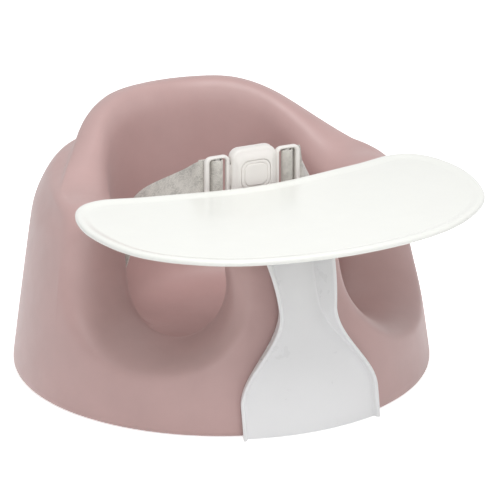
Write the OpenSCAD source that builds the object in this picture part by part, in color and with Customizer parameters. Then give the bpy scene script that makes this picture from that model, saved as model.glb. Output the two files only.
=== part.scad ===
// Baby floor seat: one moulded foam seat, a three-point belt with a centre buckle,
// and a clip-on play tray on a stem. Millimetres, +Z up, the child faces -Y.
// The origin is on the floor under the middle of the round base.

/* [Seat] */
// Width of the round base
base_d = 380; // [350:1:420]
// Height of the backrest above the floor
seat_h = 231; // [212:1:255]
// Lean of the outer wall from upright, in degrees
wall_draft = 7.8; // [4:0.1:9]
// Height of the armrests above the floor
armrest_h = 178; // [174:1:183]
// Height of the pommel between the legs
pommel_h = 169; // [162:1:173]
// How far the pommel's front leans back at its shoulder
pommel_set_back = 26; // [18:1:30]
// Height of the ledge that the rear collar stands on
ledge_h = 188; // [182:1:200]
// Thickness of the rear collar
collar_t = 36; // [28:1:44]
// Inner diameter of the bowl
bowl_d = 200; // [184:1:212]
// Height of the bowl's floor
bowl_floor = 45; // [38:1:50]

/* [Leg openings] */
// Radius of each leg opening
notch_r = 64; // [60:0.5:66]
// Height of the middle of each leg opening
notch_z = 125; // [122:1:128]
// Direction of each leg opening from straight ahead, in degrees
notch_angle = 45; // [43:0.5:47]
// Width of the soft flare under each leg opening
flare = 28; // [20:1:34]
// Width of the flare beside each leg opening
flare_side = 18; // [14:1:24]

/* [Belt] */
// Width of the webbing
strap_w = 32; // [25:1:36]
// Thickness of the webbing
strap_t = 1.4; // [1.2:0.1:1.8]
// Height of the buckle's middle above the floor
buckle_z = 198; // [190:1:206]
// Distance of the buckle in front of the seat's middle
buckle_front = 65; // [60:1:67]
// Width of the buckle's body
buckle_w = 43; // [40:1:48]
// Thickness of the buckle's body
buckle_t = 17; // [16:0.5:20]
// Travel of the release button
button_travel = 2.5; // [1.5:0.1:2.8]
// Wire diameter of the button's spring
wire_d = 0.8; // [0.6:0.1:1]

/* [Tray] */
// Width of the tray
tray_w = 366; // [340:1:390]
// Front-to-back size of the tray
tray_l = 207; // [190:1:220]
// Height of the tray's raised lip
lip_h = 2; // [1.2:0.1:3]
// Thickness of the tray's plate
plate_t = 3.5; // [3:0.1:4.5]
// Width of the stem at its foot
stem_foot_w = 129; // [115:1:140]
// Width of the stem at its waist
stem_waist_w = 49; // [44:1:56]
// Width of the stem under the tray
stem_top_w = 80; // [72:1:90]
// Wall thickness of the stem
stem_wall = 3.5; // [2.8:0.1:4.5]
// Depth of the stem's channel at its top
stem_depth = 27; // [20:1:30]

/* [Hidden] */
$fn = 48;

foam_colour = "#B89A95";
webbing_colour = "#B9B9B4";
buckle_colour = "#ECE8E4";
tray_colour = "#F5F6F1";
stem_colour = "#E2E3E5";
steel_colour = "#A9ACB0";

clearance = 0.3;

// ---- Small helpers ----
function mix(a, b, f) = a + (b - a) * f;
function ease(x) = let (c = min(1, max(0, x))) c * c * (3 - 2 * c);
function polar(a, r, z) = [r * sin(a), -r * cos(a), z];
function unit(v) = v / norm(v);
function arc(cx, cy, r, a0, a1, n, first = 0) =
    [for (i = [first:n]) let (a = mix(a0, a1, i / n)) [cx + r * cos(a), cy + r * sin(a)]];
function bezier(s, a, b, c) = a * (1 - s) * (1 - s) + b * 2 * s * (1 - s) + c * s * s;

// A smooth curve over control points p, starting at the first and ending at the last.
function spline_point(a, b, c, d, t) =
    (a * pow(1 - t, 3) + b * (3 * pow(t, 3) - 6 * t * t + 4)
     + c * (3 * t * t + 3 * t - 3 * pow(t, 3) + 1) + d * pow(t, 3)) / 6;
function spline(p, steps) =
    let (n = len(p),
         q = concat([2 * p[0] - p[1]], p, [2 * p[n - 1] - p[n - 2]]))
    concat([for (i = [0:n - 2], k = [0:steps[i] - 1])
                spline_point(q[i], q[i + 1], q[i + 2], q[i + 3], k / steps[i])],
           [p[n - 1]]);
function even_steps(p, n) = [for (i = [1:len(p) - 1]) n];

// A closed solid through rings of equal length, flat at both ends.
module skin(rings) {
    n = len(rings[0]);
    last = len(rings) - 1;
    sides = [for (j = [0:last - 1], i = [0:n - 1])
                let (a = j * n + i, b = j * n + (i + 1) % n)
                each [[a, a + n, b], [b, a + n, b + n]]];
    bottom = [for (i = [0:n - 1]) i];
    top = [for (i = [n - 1:-1:0]) last * n + i];
    polyhedron([for (ring = rings) each ring], concat(sides, [bottom, top]));
}

module rounded_rect(w, h, r) {
    square([w - 2 * r, h], center = true);
    square([w, h - 2 * r], center = true);
    for (x = [-1, 1], y = [-1, 1])
        translate([x * (w / 2 - r), y * (h / 2 - r)]) circle(r);
}

// ---- Seat: the rim seen unrolled, as distance along it and height ----
rim_inset = 40;
rim_r = base_d / 2 - rim_inset;
bowl_r = bowl_d / 2;
pommel_corner = 22;
armrest_corner = 25;
rim_drop = 34;
edge_x = rim_r * PI / 2;
notch_x = rim_r * notch_angle * PI / 180;
pommel_rise = asin((pommel_h - notch_z - pommel_corner) / (notch_r + pommel_corner));
armrest_rise = asin((armrest_h - notch_z - armrest_corner) / (notch_r + armrest_corner));
pommel_x = notch_x - (notch_r + pommel_corner) * cos(pommel_rise);
armrest_x = notch_x + (notch_r + armrest_corner) * cos(armrest_rise);
pommel_end = 200;
armrest_end = 360;
base_share = 0.86;
shoulder_round = 28;
base_round = 8;
armrest_inside = 36;

function flare_r(a) = notch_r + mix(flare_side, flare, pow(sin(a), 2));
function angle_at(x) = x / rim_r * 180 / PI;
function wall_r(z) = base_d / 2 - z * tan(wall_draft);
function set_back(z) = pommel_set_back * pow(z / (pommel_h - pommel_corner), 2);
function front_r(z) = wall_r(z) - set_back(z);
function side_r(x, z) = wall_r(z) - set_back(z) * (1 - ease((x - 34) / 40));
function crest_z(a) =
    mix(armrest_h, seat_h, pow(sin(90 * min(1, max(0, (a - 92) / 66))), 1.2));
function ledge_z(a) = mix(armrest_h, ledge_h, ease((a - 98) / 40));
function collar_share(a) = ease((a - 72) / 30);

pommel_r = front_r(pommel_h) - 14;
collar_r = bowl_r + collar_t / 2 - 3;
function crest_r(x) =
    x < notch_x ? mix(pommel_r, rim_r, ease((x - pommel_x) / 40))
                : mix(rim_r, collar_r, ease((angle_at(x) - 65) / 60));

// Where a column that reaches its rim from x at the flare stands on the floor.
function foot_x(x) =
    lookup(x, [[0, 0],
               [notch_x + flare_r(pommel_end) * cos(pommel_end),
                notch_x + base_share * flare_r(pommel_end) * cos(pommel_end)],
               [notch_x + flare_r(0), notch_x + base_share * flare_r(0)],
               [edge_x, edge_x], [2 * edge_x, 2 * edge_x]]);

// Each station is [crest, start of the rounding outside, width of the rounding inside].
pommel_crest = concat(
    [for (i = [0:2]) [pommel_x * i / 3, pommel_h]],
    arc(pommel_x, pommel_h - pommel_corner, pommel_corner, 90, -pommel_rise, 5),
    arc(notch_x, notch_z, notch_r, 180 - pommel_rise, pommel_end, 3, 1));
pommel_stations =
    let (n = len(pommel_crest) - 1,
         a = [0, pommel_h - rim_drop],
         b = [pommel_x / 2, pommel_h - rim_drop],
         c = [notch_x, notch_z] + flare_r(pommel_end) * [cos(pommel_end), sin(pommel_end)])
    [for (i = [0:n]) [pommel_crest[i], bezier(i / n, a, b, c), mix(30, 15, i / n)]];
notch_stations =
    [for (i = [1:16]) let (a = mix(pommel_end, armrest_end, i / 16))
        [[notch_x + notch_r * cos(a), notch_z + notch_r * sin(a)],
         [notch_x + flare_r(a) * cos(a), notch_z + flare_r(a) * sin(a)],
         mix(11, a < 270 ? 15 : armrest_inside, pow(cos(a), 2))]];
armrest_crest = concat(
    arc(notch_x, notch_z, notch_r, armrest_end, armrest_end + armrest_rise, 2, 1),
    arc(armrest_x, armrest_h - armrest_corner, armrest_corner, 180 + armrest_rise, 90, 5, 1),
    [for (i = [1:4]) let (x = mix(armrest_x, edge_x, i / 4)) [x, crest_z(angle_at(x))]]);
armrest_stations =
    let (n = len(armrest_crest),
         a = [notch_x + flare_r(0), notch_z],
         b = [notch_x + flare_r(0) + 6, armrest_h - rim_drop],
         c = [edge_x, armrest_h - rim_drop])
    [for (i = [1:n]) [armrest_crest[i - 1], bezier(i / n, a, b, c),
                        mix(armrest_inside, 30, i / n)]];
back_stations =
    [for (i = [1:18]) let (x = mix(edge_x, 2 * edge_x, i / 18), a = angle_at(x))
        [[x, crest_z(a)], [x, armrest_h - rim_drop], 30]];
half_stations = concat(pommel_stations, notch_stations, armrest_stations, back_stations);

// Control points [distance along, radius, height] of one section of the foam,
// from the edge of the flat base over the rim to the floor of the bowl.
outer_turn = [15, 30, 45, 58, 70, 80];
inner_turn = [70, 50, 30, 10];
function arched(crest, start, r_crest, r_start, turn) =
    [for (t = turn) let (p = mix(crest, start, 1 - sin(t)))
        [p[0], mix(r_crest, r_start, cos(t)), p[1]]];
function collared(x, a) =
    let (z0 = ledge_z(a), z1 = crest_z(a), r = crest_r(x) + collar_t / 2)
    [[x, wall_r(z0 - shoulder_round) - 1, z0 - shoulder_round],
     [x, wall_r(z0) - 8, z0 - 7], [x, mix(r, wall_r(z0), 0.5), z0 - 1], [x, r + 1, z0 + 1],
     [x, r - 1, mix(z0, z1, 0.5)], [x, r - 2, z1 - 3]];
function section(station) =
    let (crest = station[0], start = station[1],
         a = angle_at(crest[0]),
         rc = crest_r(crest[0]),
         rs = side_r(start[0], start[1]),
         foot = foot_x(start[0]),
         inner = crest + station[2] * unit(start - crest),
         inner_z = max(bowl_floor + 1, inner[1]),
         wall = [for (f = [1 / 3, 2 / 3]) let (x = mix(foot, start[0], f), z = start[1] * f)
                    [x, side_r(x, z), z]],
         arch = [for (p = arched(crest, start, rc, rs, outer_turn))
                    [p[0], min(p[1], side_r(p[0], p[2])), p[2]]],
         collar = collared(crest[0], a),
         share = collar_share(a))
    concat(
        [[foot, wall_r(0) - base_round, 0], [foot, wall_r(0), 0],
         [foot, side_r(foot, base_round), base_round]],
        wall, [[start[0], rs, start[1]]],
        [for (i = [0:5]) mix(arch[i], collar[i], share)],
        [[crest[0], rc, crest[1]]],
        arched(crest, [inner[0], inner_z], rc, bowl_r, inner_turn),
        [[inner[0], bowl_r, inner_z],
         [mix(inner[0], foot, 0.3), bowl_r - 3, mix(bowl_floor, inner_z, 0.5)],
         [mix(inner[0], foot, 0.6), bowl_r - 9, mix(bowl_floor, inner_z, 0.15)],
         [foot, bowl_r - 26, bowl_floor], [foot, bowl_r - 48, bowl_floor],
         [foot, bowl_r - 70, bowl_floor]]);

section_steps = [2, 2, 1, 1, 1, 2, 2, 2, 2, 2, 2, 2, 2, 2, 1, 1, 1, 2, 2, 2, 1, 1];
half_sections = [for (s = half_stations) spline(section(s), section_steps)];
last_half = len(half_sections) - 1;
seat_columns = concat(
    [for (i = [0:last_half]) [for (p = half_sections[i]) polar(angle_at(p[0]), p[1], p[2])]],
    [for (i = [last_half - 1:-1:1])
        [for (p = half_sections[i]) polar(-angle_at(p[0]), p[1], p[2])]]);
seat_rings = [for (j = [0:len(seat_columns[0]) - 1]) [for (c = seat_columns) c[j]]];

// ---- Belt: where it leaves the foam and where it is anchored under the base ----
slot_gap = 1.8;
slot_w = strap_w + 2 * clearance + 2;
slot_t = strap_t + 2 * slot_gap;
hip_y = 5;
hip_top = [bowl_r - 6, hip_y, 116];
hip_foot = [bowl_r + 38, hip_y, 0];
hip_slope = unit(hip_foot - hip_top);
crotch_y = -buckle_front;
anchor_l = strap_w + 16;
anchor_w = 24;
anchor_t = 3;
recess_depth = 13;
recess_gap = 1;
anchor_top = recess_depth - clearance;

module hip_slot() {
    reach = norm(hip_foot - hip_top) + 30;
    translate(hip_top)
        rotate([0, 180 - atan2(hip_slope[0], -hip_slope[2]), 0])
            translate([-slot_t / 2, -slot_w / 2, 0]) cube([slot_t, slot_w, reach]);
}

module anchor_recess(along_x) {
    size = [anchor_w, anchor_l] + 2 * recess_gap * [1, 1];
    translate([0, 0, -1]) linear_extrude(recess_depth + 1)
        rotate(along_x ? 90 : 0) rounded_rect(size[0], size[1], 5);
}

module seat_foam() {
    color(foam_colour) difference() {
        skin(seat_rings);
        for (side = [0, 1]) mirror([side, 0, 0]) {
            hip_slot();
            translate([hip_anchor_x, hip_y, 0]) anchor_recess(false);
        }
        translate([-slot_w / 2, crotch_y - slot_t / 2, -1])
            cube([slot_w, slot_t, bowl_floor + 30]);
        translate([0, crotch_y, 0]) anchor_recess(true);
        foot_recess();
    }
}
hip_anchor_x = hip_foot[0] + hip_slope[0] / hip_slope[2] * (anchor_top - anchor_t / 2);

// A plastic bar plate with the webbing's slot through it.
module strap_anchor() {
    translate([0, 0, anchor_top - anchor_t]) linear_extrude(anchor_t) difference() {
        rounded_rect(anchor_w, anchor_l, 4);
        square([slot_t, strap_w + 2 * clearance], center = true);
    }
}

module left_strap_anchor() {
    color(buckle_colour) translate([-hip_anchor_x, hip_y, 0]) strap_anchor();
}

module right_strap_anchor() {
    color(buckle_colour) translate([hip_anchor_x, hip_y, 0]) strap_anchor();
}

module crotch_strap_anchor() {
    color(buckle_colour) translate([0, crotch_y, 0]) rotate(90) strap_anchor();
}

// Webbing along path points, each [place, width direction], flat at both ends.
module webbing(path) {
    n = len(path) - 1;
    along = [for (i = [0:n])
                unit(path[min(n, i + 1)][0] - path[max(0, i - 1)][0])];
    skin([for (i = [0:n])
        let (across = unit(path[i][1]) * strap_w / 2,
             out = unit(cross(along[i], path[i][1])) * strap_t / 2,
             p = path[i][0])
        [p - across - out, p + across - out, p + across + out, p - across + out]]);
}

// The webbing's end is rolled and sewn under its anchor.
module sewn_roll(length) {
    rotate([90, 0, 0]) cylinder(d = slot_t + 1.4, h = length, center = true);
}

// ---- Buckle, placed by its middle; the belt's tongues enter along X ----
buckle_at = [0, -buckle_front, buckle_z];
buckle_h = strap_w + 18;
shell_t = 2.2;
tongue_t = 5;
tongue_l = 25;
tongue_h = strap_w + 11;
neck_t = 3;
neck_h = 22;
tongue_gap = 0.5;
tongue_x = buckle_w / 2 + tongue_gap;
frame_bar = 3.5;
bar_w = 4.5;
bar_t = 3;
bar_x = tongue_x + tongue_l / 2 + 0.5;
window_h = strap_w + 3;
tongue_travel = 24;

module tongue() {
    rotate([90, 0, 0]) {
        linear_extrude(tongue_t, center = true) difference() {
            translate([tongue_x + tongue_l / 2, 0]) rounded_rect(tongue_l, tongue_h, 6);
            translate([bar_x - 0.5, 0])
                square([tongue_l - 2 * frame_bar - 2, window_h], center = true);
        }
        linear_extrude(bar_t, center = true)
            translate([bar_x, 0]) square([bar_w, window_h + 1], center = true);
        linear_extrude(neck_t, center = true) {
            translate([6.5 + 3, 0]) circle(3);
            translate([6.5 + 3, -neck_h / 2 + 3]) square([tongue_x - 8, neck_h - 6]);
            translate([12, -neck_h / 2]) square([tongue_x - 11, neck_h]);
        }
    }
}

module left_tongue() {
    color(buckle_colour) translate(buckle_at) mirror([1, 0, 0]) tongue();
}

module right_tongue() {
    color(buckle_colour) translate(buckle_at) tongue();
}

// The webbing's loop round a tongue's bar: [out from the buckle's middle, behind it].
wrap = bar_t / 2 + strap_t / 2 + clearance + 0.3;
behind = tongue_t / 2 + strap_t / 2 + clearance + 0.2;
loop_points = [
    [tongue_x + tongue_l + 3, behind + strap_t + 0.6],
    [tongue_x + tongue_l - 1, behind + strap_t + 0.6],
    [bar_x + 4, behind + strap_t],
    [bar_x - 1, wrap + 0.9], [bar_x - 4.2, wrap], [bar_x - 4.8, -1],
    [bar_x - 2.6, -wrap - 1.4], [bar_x + 2.2, -wrap - 1.6],
    [bar_x + 4.9, -0.9], [bar_x + 5.1, behind - 0.4],
    [bar_x + 8.4, behind + 0.6], [tongue_x + tongue_l + 3, behind]];
upright = [0, 0, 1];
hip_points = [
    [[tongue_x + tongue_l + 9, behind, -1], upright],
    [[buckle_w / 2 + 48, 10, -6], [0, 0.25, 1]],
    [[buckle_w / 2 + 64, 26, -26], [0, 0.6, 0.8]],
    [[buckle_w / 2 + 67, 50, -48], [0, 1, 0.4]]];
function hip_path() =
    let (loop = [for (p = loop_points) [buckle_at + [p[0], p[1], 0], upright]],
         free = [for (p = hip_points) [buckle_at + p[0], p[1]]],
         down = [for (d = [-16, 0, 20, 70, norm(hip_foot - hip_top) - anchor_top + 6])
                    [hip_top + hip_slope * d, [0, 1, 0]]],
         all = concat(loop, free, down),
         steps = even_steps(all, 3),
         places = spline([for (p = all) p[0]], steps),
         widths = spline([for (p = all) unit(p[1])], steps))
    [for (i = [0:len(places) - 1]) [places[i], widths[i]]];

module hip_strap() {
    webbing(hip_path());
    translate([hip_anchor_x + 2, hip_y, anchor_top - anchor_t - slot_t / 2 - 1])
        sewn_roll(strap_w);
}

module left_hip_strap() {
    color(webbing_colour) mirror([1, 0, 0]) hip_strap();
}

module right_hip_strap() {
    color(webbing_colour) hip_strap();
}

// ---- The strap between the legs goes round a bar under the buckle ----
lug_drop = buckle_h / 2 + 9;
lug_back = 3.5;
lug_r = 2.2;
lug_wrap = lug_r + strap_t / 2 + clearance;
lug_at = buckle_at + [0, lug_back, -lug_drop];
crotch_loop = [
    [-lug_back, -46], [-lug_back, -32], [-lug_wrap, -14], [-lug_wrap, -4],
    [-lug_wrap - 0.7, 2.4], [-1.8, lug_wrap + 1.4], [1.8, lug_wrap + 1.4],
    [lug_wrap + 0.7, 2.4], [lug_wrap, -5], [1.2, -14], [0.4, -20], [0.2, -25]];
function crotch_path() =
    let (rise = [for (z = [anchor_top - anchor_t - 3, bowl_floor / 2, bowl_floor + 20])
                    [0, crotch_y, z]],
         loop = [for (p = crotch_loop) lug_at + [0, p[0], p[1]]],
         all = concat(rise, loop))
    [for (p = spline(all, even_steps(all, 3))) [p, [1, 0, 0]]];

module crotch_strap() {
    color(webbing_colour) {
        webbing(crotch_path());
        translate([0, crotch_y, anchor_top - anchor_t - slot_t / 2 - 1])
            rotate(90) sewn_roll(strap_w);
    }
}

// ---- Buckle shells, drawn flat: X across, Y up, Z towards the tray ----
half_t = buckle_t / 2;
buckle_corner = 9;
button_w = 28;
button_h = 26;
button_corner = 8;
flange_t = 1.2;
flange_z = half_t - shell_t - clearance - flange_t;
button_proud = 0.8;
spring_r = 2.8;
seat_in = spring_r + wire_d / 2 + clearance;
seat_wall = 1.1;
seat_depth = 2.5;
post_r = 1.7;
post_h = 4;
spring_turns = 6;

module placed_buckle() {
    translate(buckle_at) rotate([90, 0, 0]) children();
}

module buckle_outline(inset) {
    rounded_rect(buckle_w - 2 * inset, buckle_h - 2 * inset, buckle_corner - inset);
}

// One half of the buckle's case, with its joint face at 0 and openings for both necks.
module buckle_half() {
    difference() {
        hull() {
            linear_extrude(half_t - 3.5) buckle_outline(0, $fn = 32);
            linear_extrude(half_t - 1) buckle_outline(1.2, $fn = 32);
            linear_extrude(half_t) buckle_outline(3.5, $fn = 32);
        }
        translate([0, 0, -1]) linear_extrude(half_t - shell_t + 1) buckle_outline(shell_t);
        translate([0, 0, neck_t / 4])
            cube([buckle_w + 2, neck_h + 2 * clearance, neck_t / 2 + 2 * clearance],
                 center = true);
    }
}

module buckle_front_cover() {
    color(buckle_colour) placed_buckle() difference() {
        buckle_half();
        linear_extrude(buckle_t)
            rounded_rect(button_w + 2 * clearance, button_h + 2 * clearance,
                         button_corner + clearance);
    }
}

module buckle_back_cover() {
    inner_z = half_t - shell_t;
    arm_w = 4.5;
    arm_x = strap_w / 2 + 2 * clearance + arm_w / 2;
    color(buckle_colour) placed_buckle() {
        mirror([0, 0, 1]) buckle_half();
        translate([0, 0, -inner_z - 0.2]) cylinder(r = post_r, h = post_h + 0.2);
        for (x = [-1, 1]) translate([x * arm_x, -lug_drop, -lug_back]) {
            rotate([0, 90, 0]) cylinder(r = lug_r + 1.2, h = arm_w, center = true);
            translate([-arm_w / 2, 0, -lug_r - 1.2])
                cube([arm_w, lug_drop - buckle_h / 2 + buckle_corner / 2, 2 * lug_r + 2.4]);
        }
        translate([0, -lug_drop, -lug_back])
            rotate([0, 90, 0]) cylinder(r = lug_r, h = 2 * arm_x, center = true);
    }
}

module release_button() {
    color(buckle_colour) placed_buckle() {
        hull() {
            translate([0, 0, flange_z])
                linear_extrude(half_t - flange_z)
                    rounded_rect(button_w, button_h, button_corner, $fn = 32);
            translate([0, 0, flange_z])
                linear_extrude(half_t - flange_z + button_proud)
                    rounded_rect(button_w - 4, button_h - 4, button_corner - 2, $fn = 32);
        }
        translate([0, 0, flange_z])
            linear_extrude(flange_t)
                rounded_rect(button_w + 3, button_h + 3, button_corner + 1.5);
        translate([0, 0, flange_z - seat_depth]) difference() {
            cylinder(r = seat_in + seat_wall, h = seat_depth + 0.2);
            translate([0, 0, -1]) cylinder(r = seat_in, h = seat_depth + 1);
        }
    }
}

// The coil spring between the back cover and the button.
module button_spring() {
    low = -half_t + shell_t + wire_d / 2 + 0.05;
    high = flange_z - wire_d / 2 - 0.05;
    per_turn = 8;
    n = spring_turns * per_turn;
    rings = [for (i = [0:n])
        let (a = 360 * i / per_turn, z = mix(low, high, i / n))
        [for (k = [0:5]) let (b = -60 * k)
            [(spring_r + wire_d / 2 * cos(b)) * cos(a),
             (spring_r + wire_d / 2 * cos(b)) * sin(a), z + wire_d / 2 * sin(b)]]];
    color(steel_colour) placed_buckle() skin(rings);
    next_turn = [for (i = [0:n - per_turn], p = rings[i], q = rings[i + per_turn]) norm(p - q)];
    echo(button_spring_least_gap = min(next_turn));
}

// ---- Tray stem: a channel that follows the front of the pommel ----
seat_gap = 1.2;
floor_gap = 0.5;
tray_gap = 7;
tray_z = armrest_h + tray_gap;
foot_depth = 8;
foot_straight = 24;
foot_flare_end = 104;
top_flare_start = 110;
head_t = 3.6;
head_l = 62;
wall_lean = 0.12;
head_w = stem_top_w + 2 * wall_lean * stem_depth + 1.5;
head_z = tray_z - 0.1 - head_t;
head_y = -front_r(head_z) - 4;
rib_t = 2.5;
rib_l = 26;
tongue_w = 60;
foot_t = 2.8;
foot_reach = 28;
foot_overlap = 0.5;
foot_z = 1;

function stem_half_w(z) =
    (stem_waist_w
     + (stem_foot_w - stem_waist_w) * ease((foot_flare_end - z) / (foot_flare_end - foot_straight))
     + (stem_top_w - stem_waist_w) * pow(max(0, (z - top_flare_start) / (head_z - top_flare_start)), 2))
    / 2;
function channel_depth(z) = mix(foot_depth, stem_depth, ease((z - 20) / 120));
function on_arc(r, x) = -sqrt(r * r - x * x);
function stem_section(z) =
    let (t = stem_wall, r = front_r(z) + seat_gap, w = stem_half_w(z),
         d = channel_depth(z), lean = wall_lean * d,
         back = on_arc(r, w), lip = back - d,
         right = concat(
            [for (f = [0.25, 0.5, 0.75, 1]) [w * f, on_arc(r, w * f)]],
            [[w + lean / 2, back - d / 2], [w + lean, lip], [w + lean - t * 0.15, lip - 0.8],
             [w + lean - t * 0.5, lip - 1.1], [w + lean - t * 0.85, lip - 0.8],
             [w + lean - t, lip], [w - t * 0.8, back - t - 2.2],
             [w - t - 1.2, on_arc(r + t, w - t) - 0.5]],
            [for (f = [0.75, 0.5, 0.25]) let (x = f * (w - t - 1.2)) [x, on_arc(r + t, x)]]),
         left = [for (p = right) [-p[0], p[1]]],
         n = len(right) - 1,
         ring = concat([[0, -r]], left, [[0, -r - t]], [for (i = [n:-1:0]) right[i]]))
    [for (p = ring) [p[0], p[1], z]];

module foot_recess() {
    translate([-tongue_w / 2 - 2, -base_d / 2 - 5, -1])
        cube([tongue_w + 4, foot_reach + 10, foot_z + foot_t + 2.2]);
}

module snap(side, size) {
    for (y = [-1, 1])
        translate([side * head_w / 2, head_y + y * head_l / 4, head_z + head_t / 2])
            cube(size, center = true);
}

// A rib from the back of the channel along the underside of the head plate.
module rib(x) {
    low = pommel_h + 1;
    high = head_z + 1;
    r = seat_gap + stem_wall / 2;
    rear = -pommel_r + rib_l / 2;
    translate([x, 0, 0]) rotate([90, 0, 90]) linear_extrude(rib_t, center = true)
        polygon([[on_arc(front_r(low) + r, x), low], [on_arc(front_r(high) + r, x), high],
                 [rear, high], [rear, low + 3], [rear - 3, low]]);
}

module tray_stem() {
    heights = concat([for (z = [floor_gap, 10, 20]) z],
                     [for (i = [0:16]) mix(foot_straight, foot_flare_end, i / 16)],
                     [for (i = [1:8]) mix(foot_flare_end, head_z + 1, i / 8)]);
    foot_r = front_r(0) + seat_gap;
    color(stem_colour) {
        skin([for (z = heights) stem_section(z)]);
        translate([-tongue_w / 2, -foot_r - foot_overlap, foot_z])
            cube([tongue_w, foot_reach, foot_t]);
        translate([0, head_y, head_z]) linear_extrude(head_t)
            rounded_rect(head_w, head_l, 6);
        for (x = [-1, 0, 1]) rib(x * head_w / 3);
        for (side = [-1, 1]) snap(side, [2.4, 9, 1.4]);
    }
}

// ---- Tray ----
buckle_to_tray = 6.5;
back_share = 0.88;
tray_front = -buckle_front - half_t - buckle_to_tray - back_share * tray_l;
frame_wall = 2.4;
frame_h = head_t + 1.6;

// Half of the tray's outline: share of the half width, share of the length from the front.
tray_half = [[0, 0], [0.39, 0.043], [0.68, 0.155], [0.907, 0.362], [0.995, 0.66],
             [0.94, 0.91], [0.79, 1], [0.525, 0.95], [0, back_share]];
tray_corners =
    let (n = len(tray_half) - 1,
         right = [for (p = tray_half) [p[0] * tray_w / 2, tray_front + p[1] * tray_l]])
    concat(right, [for (i = [n - 1:-1:1]) [-right[i][0], right[i][1]]]);
function through(a, b, c, d, t) =
    (b * 2 + (c - a) * t + (a * 2 - b * 5 + c * 4 - d) * t * t
     + (b * 3 - a - c * 3 + d) * pow(t, 3)) / 2;
tray_outline =
    let (p = tray_corners, n = len(p))
    [for (i = [0:n - 1], k = [0:5])
        through(p[(i + n - 1) % n], p[i], p[(i + 1) % n], p[(i + 2) % n], k / 6)];
function tray_ring(inset, z) =
    let (n = len(tray_outline))
    [for (i = [0:n - 1])
        let (v = unit(tray_outline[(i + 1) % n] - tray_outline[(i + n - 1) % n]),
             p = tray_outline[i] + inset * [-v[1], v[0]])
        [p[0], p[1], tray_z + z]];

module tray_top() {
    lip_z = plate_t + lip_h;
    rim = [[10, 0], [3, 0], [0.8, 0.16 * lip_z], [0, 0.48 * lip_z], [0.6, 0.84 * lip_z],
           [2.2, lip_z], [4.4, plate_t + 0.7 * lip_h], [7.2, plate_t + 0.15 * lip_h],
           [10, plate_t]];
    color(tray_colour) {
        skin([for (p = rim) tray_ring(p[0], p[1])]);
        difference() {
            translate([0, head_y, tray_z - frame_h]) linear_extrude(frame_h + plate_t / 2)
                difference() {
                    rounded_rect(head_w + 2 * (clearance + frame_wall),
                                 head_l + 2 * (clearance + frame_wall), 6 + frame_wall);
                    rounded_rect(head_w + 2 * clearance, head_l + 2 * clearance, 6);
                }
            for (side = [-1, 1]) snap(side, [6, 9 + 2 * clearance, 1.4 + 2 * clearance]);
        }
    }
}

seat_foam();
left_hip_strap();
right_hip_strap();
crotch_strap();
left_strap_anchor();
right_strap_anchor();
crotch_strap_anchor();
left_tongue();
right_tongue();
buckle_front_cover();
buckle_back_cover();
release_button();
button_spring();
tray_top();
tray_stem();
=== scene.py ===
"""Looks of the baby floor seat: foam, webbing, buckle and tray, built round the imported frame."""

import math

import bmesh
import bpy
import numpy as np
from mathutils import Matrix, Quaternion, Vector


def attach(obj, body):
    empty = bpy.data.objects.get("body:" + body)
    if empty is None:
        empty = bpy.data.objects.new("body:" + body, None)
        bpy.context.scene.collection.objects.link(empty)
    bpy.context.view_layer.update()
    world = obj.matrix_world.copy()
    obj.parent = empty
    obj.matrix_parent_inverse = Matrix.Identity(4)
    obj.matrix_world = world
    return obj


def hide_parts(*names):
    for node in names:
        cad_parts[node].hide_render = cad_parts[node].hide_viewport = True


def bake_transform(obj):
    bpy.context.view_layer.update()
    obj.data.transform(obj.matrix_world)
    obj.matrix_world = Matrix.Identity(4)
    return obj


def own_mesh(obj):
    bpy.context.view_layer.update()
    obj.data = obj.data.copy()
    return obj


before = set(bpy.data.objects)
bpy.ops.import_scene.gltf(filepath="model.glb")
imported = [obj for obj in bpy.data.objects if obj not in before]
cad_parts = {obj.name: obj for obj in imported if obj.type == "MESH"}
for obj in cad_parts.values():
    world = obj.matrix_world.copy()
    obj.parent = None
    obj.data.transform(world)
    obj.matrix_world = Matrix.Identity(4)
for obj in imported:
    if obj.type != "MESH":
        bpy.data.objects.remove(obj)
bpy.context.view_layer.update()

bl_info = {
    "name": "Baby floor seat",
    "version": (1, 0, 0),
    "blender": (4, 5, 0),
    "location": "View3D > Sidebar > Floor seat",
    "description": "Builds a moulded foam floor seat with its belt, buckle and play tray",
    "category": "Add Mesh",
}

MM = 0.001
CLEARANCE = 0.3
CORNER_STEPS = 8


def linear(hex_colour):
    """An sRGB hex colour as the linear values that a shader takes."""
    parts = [int(hex_colour[i:i + 2], 16) / 255 for i in (1, 3, 5)]
    return tuple(c / 12.92 if c <= 0.04045 else ((c + 0.055) / 1.055) ** 2.4 for c in parts) + (1.0,)


def length(name, millimetres, description):
    return bpy.props.FloatProperty(name=name, description=description, default=millimetres * MM,
                                   min=0.0001, unit="LENGTH", precision=4)


def angle(name, degrees, description):
    return bpy.props.FloatProperty(name=name, description=description, default=math.radians(degrees),
                                   subtype="ANGLE")


def colour(name, hex_colour, description):
    return bpy.props.FloatVectorProperty(name=name, description=description, size=4,
                                         default=linear(hex_colour), min=0, max=1, subtype="COLOR")


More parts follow.
